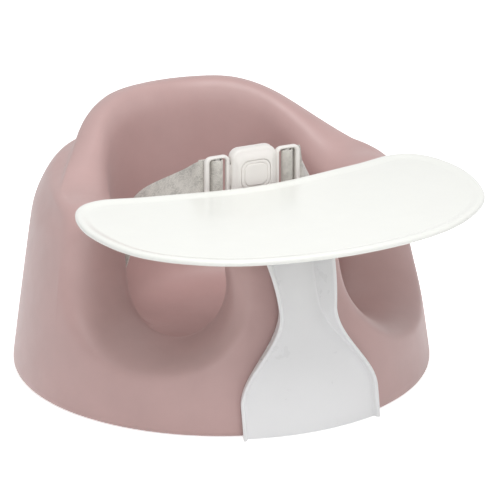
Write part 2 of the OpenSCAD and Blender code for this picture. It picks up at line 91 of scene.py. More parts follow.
class SeatSizes(bpy.types.PropertyGroup):
    """Sizes of the moulded foam seat."""
    base_width: length("Base width", 380, "Width of the round base")
    back_height: length("Back height", 231, "Height of the backrest above the floor")
    wall_draft: angle("Wall draft", 7.8, "Lean of the outer wall")
    armrest_height: length("Armrest height", 178, "Height of the armrests above the floor")
    pommel_height: length("Pommel height", 169, "Height of the pommel between the legs")
    pommel_set_back: length("Pommel set-back", 30, "How far the pommel's front leans back")
    ledge_height: length("Ledge height", 188, "Height of the ledge behind the collar")
    collar_thickness: length("Collar thickness", 36, "Thickness of the rolled collar")
    bowl_width: length("Bowl width", 200, "Inner diameter of the bowl")
    bowl_floor: length("Bowl floor", 45, "Height of the bowl's floor")
    opening_radius: length("Leg opening", 53, "Radius of each leg opening at its throat")
    opening_height: length("Leg opening height", 115, "Height of each leg opening's middle")
    opening_angle: angle("Leg opening direction", 47.8, "Direction from straight ahead")
    throat: length("Throat", 21, "Distance of each leg opening's throat outside the bowl")
    flare: length("Flare below", 17, "Width of the soft flare under each leg opening")
    flare_side: length("Flare beside", 15, "Width of the flare on the pommel's side")
    overhang: length("Overhang", 3, "How far each armrest's front stands over the throat")


class BeltSizes(bpy.types.PropertyGroup):
    """Sizes of the belt and its buckle."""
    webbing_width: length("Webbing width", 32, "Width of the webbing")
    webbing_thickness: length("Webbing thickness", 1.4, "Thickness of the webbing")
    buckle_height: length("Buckle height", 198, "Height of the buckle's middle")
    buckle_forward: length("Buckle forward", 65, "Distance in front of the seat's middle")
    buckle_width: length("Buckle width", 43, "Width of the buckle's body")
    buckle_thickness: length("Buckle thickness", 17, "Thickness of the buckle's body")


class TraySizes(bpy.types.PropertyGroup):
    """Sizes of the tray and its stem."""
    tray_width: length("Tray width", 366, "Width of the tray")
    tray_length: length("Tray length", 207, "Front-to-back size of the tray")
    plate: length("Plate", 3.5, "Thickness of the tray's plate")
    lip: length("Lip", 2, "Height of the tray's raised lip")
    foot_width: length("Foot width", 126, "Width of the stem at its foot")
    waist_width: length("Waist width", 39, "Width of the stem at its waist")
    top_width: length("Top width", 65, "Width of the stem under the tray")
    stem_wall: length("Stem wall", 3.5, "Wall thickness of the stem")
    stem_depth: length("Channel depth", 21, "Depth of the stem's channel at its top")


class SeatColours(bpy.types.PropertyGroup):
    """Colours of the finishes."""
    foam: colour("Foam", "#C3A29F", "Skin of the moulded foam")
    webbing: colour("Webbing", "#DAD6D0", "Yarn of the belt")
    buckle: colour("Buckle", "#ECE8E4", "Plastic of the buckle")
    tray: colour("Tray", "#F5F6F1", "Plastic of the tray")
    stem: colour("Stem", "#F0F0F1", "Plastic of the stem")
    floor: colour("Floor", "#FFFFFF", "Studio floor")


# ---- Curves and lofts ----
def mix(a, b, share):
    return a + (b - a) * share


def ease(x):
    c = min(1.0, max(0.0, x))
    return c * c * (3 - 2 * c)


def step(x, change):
    """How far a change has gone at x, from its start and its run."""
    start, run = change
    return ease((x - start) / run)


def sin_of(degrees):
    return math.sin(math.radians(degrees))


def cos_of(degrees):
    return math.cos(math.radians(degrees))


def spline(points, steps):
    """A uniform cubic B-spline that starts and ends at its first and last control points."""
    p = np.array(points, float)
    q = np.vstack([2 * p[0] - p[1], p, 2 * p[-1] - p[-2]])
    out = []
    for i, count in enumerate(steps):
        a, b, c, d = q[i:i + 4]
        for k in range(count):
            t = k / count
            out.append((a * (1 - t) ** 3 + b * (3 * t ** 3 - 6 * t * t + 4)
                        + c * (3 * t * t + 3 * t - 3 * t ** 3 + 1) + d * t ** 3) / 6)
    out.append(p[-1])
    return np.array(out)


def through(points, steps):
    """A smooth closed curve through its points."""
    p = np.array(points, float)
    n = len(p)
    out = []
    for i in range(n):
        a, b, c, d = p[i - 1], p[i], p[(i + 1) % n], p[(i + 2) % n]
        for k in range(steps):
            t = k / steps
            out.append((2 * b + (c - a) * t + (2 * a - 5 * b + 4 * c - d) * t * t
                        + (3 * b - a - 3 * c + d) * t ** 3) / 2)
    return np.array(out)


def new_piece(name, mesh):
    piece = bpy.data.objects.new(name, mesh)
    bpy.context.scene.collection.objects.link(piece)
    return piece


def loft(name, rings, ends="fan", uv=None):
    """A closed solid through rings of points in millimetres, first ring lowest and anticlockwise."""
    n, count = len(rings[0]), len(rings)
    bm = bmesh.new()
    verts = [[bm.verts.new([c * MM for c in p]) for p in ring] for ring in rings]
    layer = bm.loops.layers.uv.new("UVMap") if uv is not None else None
    for j in range(count - 1):
        for i in range(n):
            k = (i + 1) % n
            face = bm.faces.new((verts[j][i], verts[j][k], verts[j + 1][k], verts[j + 1][i]))
            if layer:
                for loop, (row, column) in zip(face.loops, ((j, i), (j, i + 1), (j + 1, i + 1), (j + 1, i))):
                    loop[layer].uv = (uv[0][column] * MM, uv[1][row] * MM)
    if ends == "loop":
        for i in range(n):
            k = (i + 1) % n
            bm.faces.new((verts[-1][i], verts[-1][k], verts[0][k], verts[0][i]))
    for ring, flip in ((verts[0], True), (verts[-1], False)) if ends != "loop" else ():
        if ends == "fan":
            middle = bm.verts.new(sum((v.co for v in ring), Vector()) / n)
            for i in range(n):
                pair = (ring[i], ring[(i + 1) % n])
                bm.faces.new((*(reversed(pair) if flip else pair), middle))
        else:
            bm.faces.new(ring[::-1] if flip else ring)
    mesh = bpy.data.meshes.new(name)
    bm.to_mesh(mesh)
    bm.free()
    return new_piece(name, mesh)


def alone(piece):
    """Selects one piece and makes it the active one."""
    bpy.ops.object.select_all(action="DESELECT")
    piece.select_set(True)
    bpy.context.view_layer.objects.active = piece
    return piece


def finished(piece, kind, **settings):
    """Adds one modifier and applies it."""
    alone(piece)
    modifier = piece.modifiers.new(kind.title(), kind)
    for key, value in settings.items():
        setattr(modifier, key, value)
    bpy.ops.object.modifier_apply(modifier=modifier.name)
    return piece


def rounded(outline, inset, z, shift=0.0):
    """A ring at one height inside a rounded rectangle of width, height and corner radius."""
    width, height, corner = outline
    r = max(0.3, corner - inset)
    points = []
    for k, (side, end) in enumerate(((1, 1), (-1, 1), (-1, -1), (1, -1))):
        for i in range(CORNER_STEPS + 1):
            a = 90 * (k + i / CORNER_STEPS)
            points.append((side * (width / 2 - inset - r) + r * cos_of(a) + shift,
                           end * (height / 2 - inset - r) + r * sin_of(a), z))
    return np.array(points)


def stood(rings, at):
    """Rings drawn lying on their back, stood up to face forward about a point."""
    return [[(at[0] + x, at[1] - z, at[2] + y) for x, y, z in ring] for ring in rings]


def placed():
    """The primitive that was just added, with its place in its mesh."""
    bpy.ops.object.transform_apply(location=True, rotation=True, scale=True)
    return bpy.context.object


def rod(start, end, radius):
    """A round bar between two points in millimetres."""
    bpy.ops.object.select_all(action="DESELECT")
    a, b = Vector(start) * MM, Vector(end) * MM
    bpy.ops.mesh.primitive_cylinder_add(vertices=24, radius=radius * MM, depth=(b - a).length,
                                        location=(a + b) / 2,
                                        rotation=(b - a).to_track_quat("Z", "Y").to_euler())
    return placed()


def smooth(piece, angle):
    """Shades a piece smooth, apart from edges sharper than an angle in degrees."""
    alone(piece)
    bpy.ops.object.shade_smooth_by_angle(angle=math.radians(angle))
    return piece


def block(low, high, corner=0.0, segments=4, upright_only=False):
    """A cube between two corners in millimetres, with rounded edges."""
    bpy.ops.object.select_all(action="DESELECT")
    bpy.ops.mesh.primitive_cube_add(size=1, location=[(a + b) / 2 * MM for a, b in zip(low, high)],
                                    scale=[(b - a) * MM for a, b in zip(low, high)])
    piece = placed()
    if corner:
        bpy.ops.object.mode_set(mode="EDIT")
        bpy.ops.mesh.select_all(action="DESELECT")
        bpy.ops.object.mode_set(mode="OBJECT")
        for edge in piece.data.edges:
            a, b = (piece.data.vertices[i].co for i in edge.vertices)
            edge.select = not upright_only or abs((a - b).normalized().z) > 0.9
        bpy.ops.object.mode_set(mode="EDIT")
        bpy.ops.mesh.bevel(offset=corner * MM, segments=segments, profile=0.5)
        bpy.ops.object.mode_set(mode="OBJECT")
    return piece


def turned(piece, angle, axis, about):
    """Turns a piece's mesh about a point in millimetres."""
    about = Vector(about) * MM
    turn = Quaternion(axis, angle).to_matrix().to_4x4()
    for vertex in piece.data.vertices:
        vertex.co = turn @ (vertex.co - about) + about
    return piece


def cut(piece, *tools):
    """Cuts the tools out of a piece and removes them."""
    for tool in tools:
        finished(piece, "BOOLEAN", object=tool, operation="DIFFERENCE", solver="EXACT")
        bpy.data.objects.remove(tool)
    return piece


class Millimetres:
    """A group of sizes read in millimetres."""

    def __init__(self, group):
        self.group = group

    def __getattr__(self, name):
        return getattr(self.group, name) * 1000


# ---- The foam seat ----
# degrees of each turn over the rim, outside from its start and inside to the bowl
OUTER_TURN = (15, 30, 45, 58, 70, 80)
INNER_TURN = (70, 50, 30, 10)
SECTION_STEPS = (2, 2, 1, 1, 1, 2, 2, 2, 2, 2, 2, 2, 2, 2, 1, 1, 1, 2, 2, 2, 1, 1)
# columns of the net along each stretch of the rim
POMMEL_COLUMNS = 3
CORNER_COLUMNS = 5
SIDE_COLUMNS = 2
THROAT_COLUMNS = 15
ARMREST_COLUMNS = 4
BACK_COLUMNS = 18
POMMEL_CORNER = 22
ARMREST_CORNER = 22
POMMEL_INSET = 14
ARMREST_INSET = 40
COLLAR_INSET = 3
RIM_DROP = 34
INSIDE_DROP = 30
THROAT_INSIDE = 11
ARMREST_INSIDE = 28
ARMREST_FLARE = 15
BASE_EDGE = 8
BASE_SHARE = 0.86
COLLAR_POWER = 1.2
COLLAR_FOOT = 28
OVERHANG_FADE = 1.6
# degrees round an opening, anticlockwise from its armrest side
SIDE_LEAN = 7
POMMEL_END = 200
ARMREST_END = 360
# start and run of each change, in degrees round an opening
INSIDE_WIDENS = (230, 90)
OVERHANG_GROWS = (250, 110)
# the same in degrees round the seat from straight ahead
CREST_MOVES = (65, 60)
COLLAR_BLENDS = (72, 30)
COLLAR_RISES = (92, 66)
LEDGE_RISES = (98, 40)
# the same in mm along the rim
SET_BACK_FADES = (27, 31)
# share of the way to the base's column, inset from the bowl's side, share of the height over its floor
BOWL_SIDE = ((0, 0, 1), (0.1, 3, 0.5), (0.5, 9, 0.15), (1, 26, 0), (1, 48, 0), (1, 70, 0))


class SeatShape:
    """The rim unrolled as distance along it and height, and the foam's sections across it."""

    def __init__(self, group):
        s = self.s = Millimetres(group)
        self.draft = math.tan(group.wall_draft)
        self.bowl_r = s.bowl_width / 2
        self.rim_r = self.bowl_r + s.throat
        self.armrest_r = s.base_width / 2 - ARMREST_INSET
        self.edge_x = self.rim_r * math.pi / 2
        self.hole_x = self.rim_r * group.opening_angle
        self.hole_z, self.hole_r = s.opening_height, s.opening_radius
        self.pommel_x = self.hole_x - self.side_offset(s.pommel_height, POMMEL_CORNER)
        self.armrest_x = self.hole_x + self.side_offset(s.armrest_height, ARMREST_CORNER)
        self.pommel_r = self.front_r(s.pommel_height) - POMMEL_INSET
        self.collar_r = self.bowl_r + s.collar_thickness / 2 - COLLAR_INSET

    def side_offset(self, top, corner):
        """How far a rim corner's middle is from an opening's, past the opening's leaning side."""
        reach = self.hole_r + corner
        run = (top - corner - self.hole_z - reach * sin_of(SIDE_LEAN)) / cos_of(SIDE_LEAN)
        return reach * cos_of(SIDE_LEAN) - run * sin_of(SIDE_LEAN)

    def flare(self, a):
        side = self.s.flare_side if a < 270 else ARMREST_FLARE
        return self.hole_r + mix(side, self.s.flare, sin_of(a) ** 2)

    def on_hole(self, r, a):
        return np.array([self.hole_x + r * cos_of(a), self.hole_z + r * sin_of(a)])

    def ends(self, a):
        """Where the rounding starts outside, and where it ends in the bowl.

        The throat widens behind the armrest's rounded front."""
        inside = self.hole_r + mix(THROAT_INSIDE, ARMREST_INSIDE, step(a, INSIDE_WIDENS))
        return self.on_hole(self.flare(a), a), self.on_hole(inside, a)

    def angle_at(self, x):
        return math.degrees(x / self.rim_r)

    def wall_r(self, z):
        return self.s.base_width / 2 - z * self.draft

    def set_back(self, z):
        return self.s.pommel_set_back * (z / (self.s.pommel_height - POMMEL_CORNER)) ** 2

    def front_r(self, z):
        return self.wall_r(z) - self.set_back(z)

    def side_r(self, x, z):
        return self.wall_r(z) - self.set_back(z) * (1 - step(x, SET_BACK_FADES))

    def crest_z(self, a):
        start, run = COLLAR_RISES
        return mix(self.s.armrest_height, self.s.back_height,
                   sin_of(90 * min(1, max(0, (a - start) / run))) ** COLLAR_POWER)

    def crest_r(self, x, z):
        """From the throat of an opening up to the pommel, or to the armrest and the collar."""
        if x < self.hole_x:
            top, top_z = self.pommel_r, self.s.pommel_height
        else:
            top = mix(self.armrest_r, self.collar_r, step(self.angle_at(x), CREST_MOVES))
            top_z = self.s.armrest_height
        return mix(self.rim_r, top, ease((z - self.hole_z) / (top_z - self.hole_z)))

    def foot_x(self, x):
        """A column's place at the base, where the flares have nearly closed up."""
        near = self.hole_x + self.flare(POMMEL_END) * cos_of(POMMEL_END)
        far = self.hole_x + self.flare(ARMREST_END)
        feet = [mix(self.hole_x, place, BASE_SHARE) for place in (near, far)]
        return float(np.interp(x, [0, near, far, self.edge_x, 2 * self.edge_x],
                               [0, *feet, self.edge_x, 2 * self.edge_x]))

    def arc(self, x, z, r, a0, a1, count, first=0):
        angles = [mix(a0, a1, i / count) for i in range(first, count + 1)]
        return [np.array([x + r * cos_of(a), z + r * sin_of(a)]) for a in angles]

    def straight(self, a, b):
        return [mix(a, b, i / SIDE_COLUMNS) for i in range(1, SIDE_COLUMNS)]

    def bezier(self, t, a, b, c):
        return np.array(a) * (1 - t) ** 2 + np.array(b) * 2 * t * (1 - t) + np.array(c) * t * t

    def stations(self):
        """Each is the crest, the start of the rounding outside, its end inside, and the overhang."""
        s, hole = self.s, (self.hole_x, self.hole_z, self.hole_r)
        top = s.pommel_height
        crest = [np.array([self.pommel_x * i / POMMEL_COLUMNS, top]) for i in range(POMMEL_COLUMNS)]
        crest += self.arc(self.pommel_x, top - POMMEL_CORNER, POMMEL_CORNER, 90, -SIDE_LEAN, CORNER_COLUMNS)
        crest += self.straight(crest[-1], self.on_hole(self.hole_r, 180 - SIDE_LEAN))
        crest += self.arc(*hole, 180 - SIDE_LEAN, POMMEL_END, SIDE_COLUMNS)
        n, x = len(crest) - 1, self.pommel_x / 2
        low, high = top - RIM_DROP, top - INSIDE_DROP
        start, inner = self.ends(POMMEL_END)
        out = [(p, self.bezier(i / n, (0, low), (x, low), start),
                self.bezier(i / n, (0, high), (x, high), inner), 0)
               for i, p in enumerate(crest)]
        for i in range(1, THROAT_COLUMNS + 1):
            a = mix(POMMEL_END, ARMREST_END, i / THROAT_COLUMNS)
            out.append((self.on_hole(self.hole_r, a), *self.ends(a), s.overhang * step(a, OVERHANG_GROWS)))
        top = s.armrest_height
        corner = self.arc(self.armrest_x, top - ARMREST_CORNER, ARMREST_CORNER, 180 + SIDE_LEAN, 90,
                          CORNER_COLUMNS)
        crest = self.arc(*hole, ARMREST_END, ARMREST_END + SIDE_LEAN, 1, 1)
        crest += self.straight(self.on_hole(self.hole_r, SIDE_LEAN), corner[0]) + corner
        for i in range(1, ARMREST_COLUMNS + 1):
            x = mix(self.armrest_x, self.edge_x, i / ARMREST_COLUMNS)
            crest.append(np.array([x, self.crest_z(self.angle_at(x))]))
        n, x = len(crest), self.edge_x
        low, high = top - RIM_DROP, top - INSIDE_DROP
        near = self.hole_x + self.flare(ARMREST_END)
        start, inner = self.ends(ARMREST_END)
        for i, p in enumerate(crest, 1):
            out.append((p, self.bezier(i / n, start, (near, low), (x, low)),
                        self.bezier(i / n, inner, (x, high), (x, high)),
                        s.overhang * (1 - ease(OVERHANG_FADE * i / n))))
        for i in range(1, BACK_COLUMNS + 1):
            x = mix(self.edge_x, 2 * self.edge_x, i / BACK_COLUMNS)
            z = self.crest_z(self.angle_at(x))
            out.append((np.array([x, z]), np.array([x, low]), np.array([x, z - INSIDE_DROP]), 0))
        return out

    def arched(self, crest, start, r_crest, r_start, turn, over=0):
        """A round turn between the crest and the start of the rounding, pushed out by an overhang."""
        out = (start - crest) / np.linalg.norm(start - crest)
        points = []
        for t in turn:
            x, z = mix(crest, start, 1 - sin_of(t)) - over * sin_of(2 * t) * out
            points.append((x, mix(r_crest, r_start, cos_of(t)), z))
        return points

    def collared(self, x, a):
        """The outside round the back: the ledge, the collar's foot and its side."""
        z0, z1 = mix(self.s.armrest_height, self.s.ledge_height, step(a, LEDGE_RISES)), self.crest_z(a)
        r, wall = self.crest_r(x, z1) + self.s.collar_thickness / 2, self.wall_r(z0)
        return [(x, self.wall_r(z0 - COLLAR_FOOT) - 1, z0 - COLLAR_FOOT), (x, wall - 8, z0 - 7),
                (x, mix(r, wall, 0.5), z0 - 1), (x, r + 1, z0 + 1),
                (x, r - 1, mix(z0, z1, 0.5)), (x, r - 2, z1 - 3)]

    def section(self, crest, start, inner, overhang):
        """One column's control points, from the base's edge over the rim to the bowl's floor."""
        a, rc, rs = self.angle_at(crest[0]), self.crest_r(*crest), self.side_r(*start)
        foot, floor, bowl_r = self.foot_x(start[0]), self.s.bowl_floor, self.bowl_r
        inner = np.array([inner[0], max(floor + 1, inner[1])])
        points = [(foot, self.wall_r(0) - BASE_EDGE, 0), (foot, self.wall_r(0), 0),
                  (foot, self.side_r(foot, BASE_EDGE), BASE_EDGE)]
        for f in (1 / 3, 2 / 3):
            x, z = mix(foot, start[0], f), start[1] * f
            points.append((x, self.side_r(x, z), z))
        points.append((start[0], rs, start[1]))
        arch = [(x, min(r, self.side_r(x, z)), z) for x, r, z in
                self.arched(crest, start, rc, rs, OUTER_TURN, overhang)]
        points += [tuple(mix(np.array(p), np.array(q), step(a, COLLAR_BLENDS)))
                   for p, q in zip(arch, self.collared(crest[0], a))]
        points.append((crest[0], rc, crest[1]))
        points += self.arched(crest, inner, rc, bowl_r, INNER_TURN)
        return points + [(mix(inner[0], foot, along), bowl_r - inset, mix(floor, inner[1], up))
                         for along, inset, up in BOWL_SIDE]

    def rings(self):
        """Closed rings from the base's edge over the rim to the bowl's floor."""
        half = [spline(self.section(*station), SECTION_STEPS) for station in self.stations()]
        columns = half + [c * (-1, 1, 1) for c in half[-2:0:-1]]
        out = np.array(columns).transpose(1, 0, 2)
        angle = out[..., 0] / self.rim_r
        return np.stack([out[..., 1] * np.sin(angle), -out[..., 1] * np.cos(angle), out[..., 2]], -1)


# ---- The belt's webbing ----
HIP_Y = 5
HIP_TOP_INSET = 6
HIP_TOP_HEIGHT = 116
HIP_FOOT_OUT = 38
STRAP_STEPS = 8
SELVAGE = 0.8
SELVAGE_SHARE = 0.35
SLOT_SPARE = 3.6
ROLL_WIDTH = 6.4
ROLL_HEIGHT = 6.2
ANCHOR_TOP = 12.7
ANCHOR_THICKNESS = 3
TONGUE_LENGTH = 24
TONGUE_THICKNESS = 4.6
TONGUE_FRAME = 4.4
TONGUE_INNER = 3.8
TONGUE_SLOT = TONGUE_LENGTH - TONGUE_FRAME - TONGUE_INNER
TONGUE_GAP = 0.5
BAR_PLACE = TONGUE_INNER + TONGUE_SLOT / 2
BAR_THICKNESS = 3
BAR_WIDTH = 4.4
LUG_DROP = 18
LUG_BACK = 3.5
LUG_RADIUS = 2.2


class BeltShape:
    """Paths of the three straps in millimetres, as places and width directions."""

    def __init__(self, seat, belt):
        self.b = Millimetres(belt)
        bowl_r = Millimetres(seat).bowl_width / 2
        self.buckle = np.array([0, -self.b.buckle_forward, self.b.buckle_height])
        self.thick = self.b.webbing_thickness
        self.hip_top = np.array([bowl_r - HIP_TOP_INSET, HIP_Y, HIP_TOP_HEIGHT])
        self.hip_foot = np.array([bowl_r + HIP_FOOT_OUT, HIP_Y, 0])
        self.hip_length = np.linalg.norm(self.hip_foot - self.hip_top)
        self.slope = (self.hip_foot - self.hip_top) / self.hip_length
        self.slot = self.thick + SLOT_SPARE
        self.anchor_x = self.hip_foot[0] + self.slope[0] / self.slope[2] * (ANCHOR_TOP - 1.5)

    def hip(self):
        """From the sewn end behind the tongue, round its bar and out over the bowl's edge to the base."""
        tongue_x = self.b.buckle_width / 2 + TONGUE_GAP
        bar_x, end = tongue_x + BAR_PLACE, tongue_x + TONGUE_LENGTH
        wrap = BAR_THICKNESS / 2 + self.thick / 2 + CLEARANCE + 0.3
        behind = TONGUE_THICKNESS / 2 + self.thick / 2 + CLEARANCE + 0.2
        loop = [(end + 3, behind + self.thick + 0.6), (end - 1, behind + self.thick + 0.6),
                (bar_x + 4, behind + self.thick), (bar_x - 1, wrap + 0.9), (bar_x - 4.2, wrap),
                (bar_x - 4.8, -1), (bar_x - 2.6, -wrap - 1.4), (bar_x + 2.2, -wrap - 1.6),
                (bar_x + 4.9, -0.9), (bar_x + 5.1, behind - 0.4), (bar_x + 8.4, behind + 0.6),
                (end + 3, behind)]
        # the free run to the bowl's edge, then down the slot in the foam
        half = self.b.buckle_width / 2
        places = [self.buckle + (x, y, 0) for x, y in loop]
        widths = [(0, 0, 1)] * len(places)
        for place, width in ((self.buckle + (end + 6, behind + 3, -3), (0.1, 0.15, 1)),
                             (self.buckle + (half + 37, 18, -12), (0.25, 0.35, 0.9)),
                             (self.buckle + (half + 53, 38, -26), (0.25, 0.45, 0.85)),
                             (self.hip_top + (-7, -11, 41), (0.2, 0.8, 0.6))):
            places.append(place)
            widths.append(np.array(width) / np.linalg.norm(width))
        for d in (-16, 0, 20, 70, self.hip_length - ANCHOR_TOP + 6):
            places.append(self.hip_top + self.slope * d)
            widths.append((0, 1, 0))
        steps = [STRAP_STEPS] * (len(places) - 1)
        return spline(places, steps), spline(widths, steps)

    def crotch(self):
        """From the anchor up to the bar under the buckle, round it and back down on itself."""
        drop, back = self.b.webbing_width / 2 + LUG_DROP, LUG_BACK
        wrap = LUG_RADIUS + self.thick / 2 + CLEARANCE
        loop = [(-back, -46), (-back, -32), (-wrap, -14), (-wrap, -4), (-wrap - 0.7, 2.4),
                (-1.8, wrap + 1.4), (1.8, wrap + 1.4), (wrap + 0.7, 2.4), (wrap, -5),
                (1.2, -14), (0.4, -20), (0.2, -25)]
        places = [(0, self.buckle[1], z) for z in (ANCHOR_TOP - ANCHOR_THICKNESS - 3, 22.5, 65)]
        places += [self.buckle + (0, back + y, z - drop) for y, z in loop]
        places = spline(places, [STRAP_STEPS] * (len(places) - 1))
        return places, np.tile([1.0, 0, 0], (len(places), 1))


def webbing(name, places, widths, width, thickness):
    """A flat woven strap along a path, with rounded selvages and its weave laid along it."""
    half, t = width / 2, thickness / 2
    across = np.linspace(-half + SELVAGE, half - SELVAGE, 9)
    profile = [(-half, -t * SELVAGE_SHARE), *((x, -t) for x in across), (half, -t * SELVAGE_SHARE),
               (half, t * SELVAGE_SHARE), *((x, t) for x in across[::-1]), (-half, t * SELVAGE_SHARE)]
    along = np.gradient(places, axis=0)
    rings = []
    for p, a, w in zip(places, along, widths):
        w = w / np.linalg.norm(w)
        out = np.cross(a, w)
        out /= np.linalg.norm(out)
        rings.append([p + w * x + out * y for x, y in profile])
    run = np.concatenate([[0], np.cumsum(np.linalg.norm(np.diff(places, axis=0), axis=1))])
    flat = [x for x, y in profile]
    strap = loft(name, rings, ends="flat", uv=(flat + [flat[0]], run))
    return smooth(strap, 50)


def sewn_roll(x, y, turn, width):
    """The strap's end, rolled and sewn under its anchor."""
    bpy.ops.object.select_all(action="DESELECT")
    bpy.ops.mesh.primitive_cylinder_add(vertices=32, radius=ROLL_WIDTH / 2 * MM, depth=width * MM,
                                        location=[c * MM for c in (x, y, ROLL_HEIGHT)], rotation=turn)
    roll = placed()
    finished(roll, "BEVEL", width=0.8 * MM, segments=3, limit_method="ANGLE")
    return smooth(roll, 40)


def joined(name, *parts):
    """Joins pieces into the first one."""
    bpy.ops.object.select_all(action="DESELECT")
    for part in parts:
        part.select_set(True)
    bpy.context.view_layer.objects.active = parts[0]
    bpy.ops.object.join()
    parts[0].name = parts[0].data.name = name
    return parts[0]


# ---- The buckle, drawn lying on its back: X across, Y up, Z towards the tray ----
CASE_SPARE = 15
CASE_CORNER = 9
CASE_EDGE = 5.6
CASE_ROUND = 2.6
CASE_WALL = 2.2
CROWN_SHARES = (0.2, 0.4, 0.6, 0.8, 1)
CROWN_MIDDLE = (6, 8, 2.5)
WINDOW = (28.6, 26.6, 8.3)
BUTTON = (28, 26, 8)
BUTTON_PAD = (21.4, 20, 6)
BUTTON_FLANGE = 1.2
NECK_HEIGHT = 22
NECK_THICKNESS = 3
TONGUE_CORNER = 6
TONGUE_SPARE = 7
POST_RADIUS = 1.7
POST_LENGTH = 4
CUP_RADIUS = 4.6
CUP_WALL = 1.1
LUG_WIDTH = 4.5
ROUNDING = (18, 36, 54, 72, 90)
# inset and share of half the thickness, round a tongue's outside from behind and back through its window
TONGUE_OUTSIDE = ((1.3, -1), (0.6, -0.88), (0.15, -0.62), (0, -0.3),
                  (0, 0.3), (0.15, 0.62), (0.6, 0.88), (1.3, 1))
TONGUE_WINDOW = ((-1.1, 1), (-0.5, 0.88), (-0.1, 0.62), (0, 0.3),
                 (0, -0.3), (-0.1, -0.62), (-0.5, -0.88), (-1.1, -1))


class BuckleShape:
    """The rings of the buckle's case, button and tongues, in millimetres."""

    def __init__(self, seat, belt):
        path = BeltShape(seat, belt)
        self.b, self.at = path.b, path.buckle
        self.half = self.b.buckle_thickness / 2
        self.case = (self.b.buckle_width, self.b.webbing_width + CASE_SPARE, CASE_CORNER)
        self.flange_z = self.half - CASE_WALL - CLEARANCE - BUTTON_FLANGE

    def outside(self, sign, end):
        """The case from its joint, round its edge and up its gentle crown to another outline."""
        rings = [rounded(self.case, 0, sign * 0.1), rounded(self.case, 0, sign * (CASE_EDGE - CASE_ROUND))]
        for a in ROUNDING:
            rings.append(rounded(self.case, CASE_ROUND * (1 - cos_of(a)),
                                 sign * (CASE_EDGE - CASE_ROUND * (1 - sin_of(a)))))
        start = rounded(self.case, CASE_ROUND, 0)
        for share in CROWN_SHARES:
            up = sign * mix(CASE_EDGE, self.half, sin_of(90 * share))
            rings.append(mix(start, end, share) * (1, 1, 0) + (0, 0, up))
        return rings

    def lining(self, sign):
        """The case's inside from its crown to its joint."""
        return [rounded(self.case, inset, sign * z) for inset, z in
                ((CASE_WALL + 1, CASE_EDGE - CASE_WALL + 0.4), (CASE_WALL, CASE_EDGE - CASE_WALL - 0.6),
                 (CASE_WALL, 0.1))]

    def front(self):
        rings = self.outside(1, rounded(WINDOW, -0.5, 0))
        rings += [rounded(WINDOW, inset, self.half - drop) for inset, drop in
                  ((-0.15, 0.15), (0, 0.5), (0, CASE_WALL))]
        return rings + self.lining(1)

    def back(self):
        rings = self.outside(-1, rounded(CROWN_MIDDLE, 0, 0))
        return rings[::-1] + self.lining(-1)[::-1] + [rounded(CROWN_MIDDLE, 0, -self.half + CASE_WALL)]

    def button(self):
        """The flange, the button's side, the groove round its pad, and the pad with its finger dish."""
        low, top = self.flange_z, self.half - 0.1
        rings = [rounded(BUTTON, inset, z) for inset, z in
                 ((-1.5, low), (-1.5, low + BUTTON_FLANGE), (0, low + BUTTON_FLANGE), (0, top - 0.7),
                  (0.2, top - 0.2), (0.8, top))]
        pad = [(-0.9, 0), (-0.6, -0.15), (-0.45, -0.5), (-0.1, -0.5), (0, -0.1)]
        pad += [(0.9 * (1 - cos_of(a)), 0.6 * sin_of(a) - 0.1) for a in ROUNDING]
        return rings + [rounded(BUTTON_PAD, inset, top + z) for inset, z in pad + [(3, 0.42), (6, 0.25)]]

    def cup(self):
        """The ring behind the button that holds the spring's end."""
        low, top = self.flange_z - 2.5, self.flange_z + 0.3
        return [[(r * cos_of(a), r * sin_of(a), z) for a in range(0, 360, 15)] for r, z in
                ((CUP_RADIUS, low), (CUP_RADIUS, top), (CUP_RADIUS - CUP_WALL, top),
                 (CUP_RADIUS - CUP_WALL, low))]

    def tongue(self):
        """The frame's rounded bar, once round its outline and back through its window."""
        end, half = self.b.buckle_width / 2 + TONGUE_GAP, TONGUE_THICKNESS / 2
        outer = (TONGUE_LENGTH, self.b.webbing_width + TONGUE_SPARE, TONGUE_CORNER)
        slot = (TONGUE_SLOT, self.b.webbing_width + 1.6, 3)
        middle, window = end + TONGUE_LENGTH / 2, end + BAR_PLACE
        return ([rounded(outer, inset, z * half, middle) for inset, z in TONGUE_OUTSIDE]
                + [rounded(slot, inset, z * half, window) for inset, z in TONGUE_WINDOW])


# ---- The tray and its stem ----
TRAY_RISE = 7
TRAY_GAP = 6.5
SEAT_GAP = 1.2
FOOT_DEPTH = 2.5
# heights on the stem: its foot's flare, the start of its top's, and the start and run of its deepening
FLARE_START = 28
FLARE_END = 109
TOP_FLARE_START = 118
CHANNEL_DEEPENS = (50, 90)
HEAD_THICKNESS = 3.6
HEAD_LENGTH = 62
HEAD_CORNER = 6
HEAD_SPARE = 1.5
HEAD_BACK = 4
FRAME_WALL = 2.4
FRAME_DROP = 1.6
FOOT_TONGUE = (60, 28, 2.8)
RIB_LENGTH = 26
RIB_THICKNESS = 2.5
DISH_EDGE = 13
DISH_STEPS = 8
# inset from the tray's edge and share of the lip's height
TRAY_EDGE = ((3, 0), (1.6, 0.05), (0.7, 0.16), (0.15, 0.32), (0, 0.5), (0.15, 0.66), (0.6, 0.82), (1.3, 0.93),
             (2.3, 0.99), (3.4, 1))
WALL_LEAN = 0.4
LIP_STEPS = 8
LIP_ROUND = 1.1
FILLET = 1.8
FILLET_SHARE = 0.6
# half the tray's outline from the middle of its front, as shares of its half width and its length
TRAY_HALF = ((0, 0), (0.39, 0.043), (0.68, 0.155), (0.907, 0.362), (0.995, 0.66),
             (0.94, 0.91), (0.79, 1), (0.525, 0.95), (0, 0.88))
OUTLINE_STEPS = 14


def on_arc(r, x):
    return -math.sqrt(r * r - x * x)


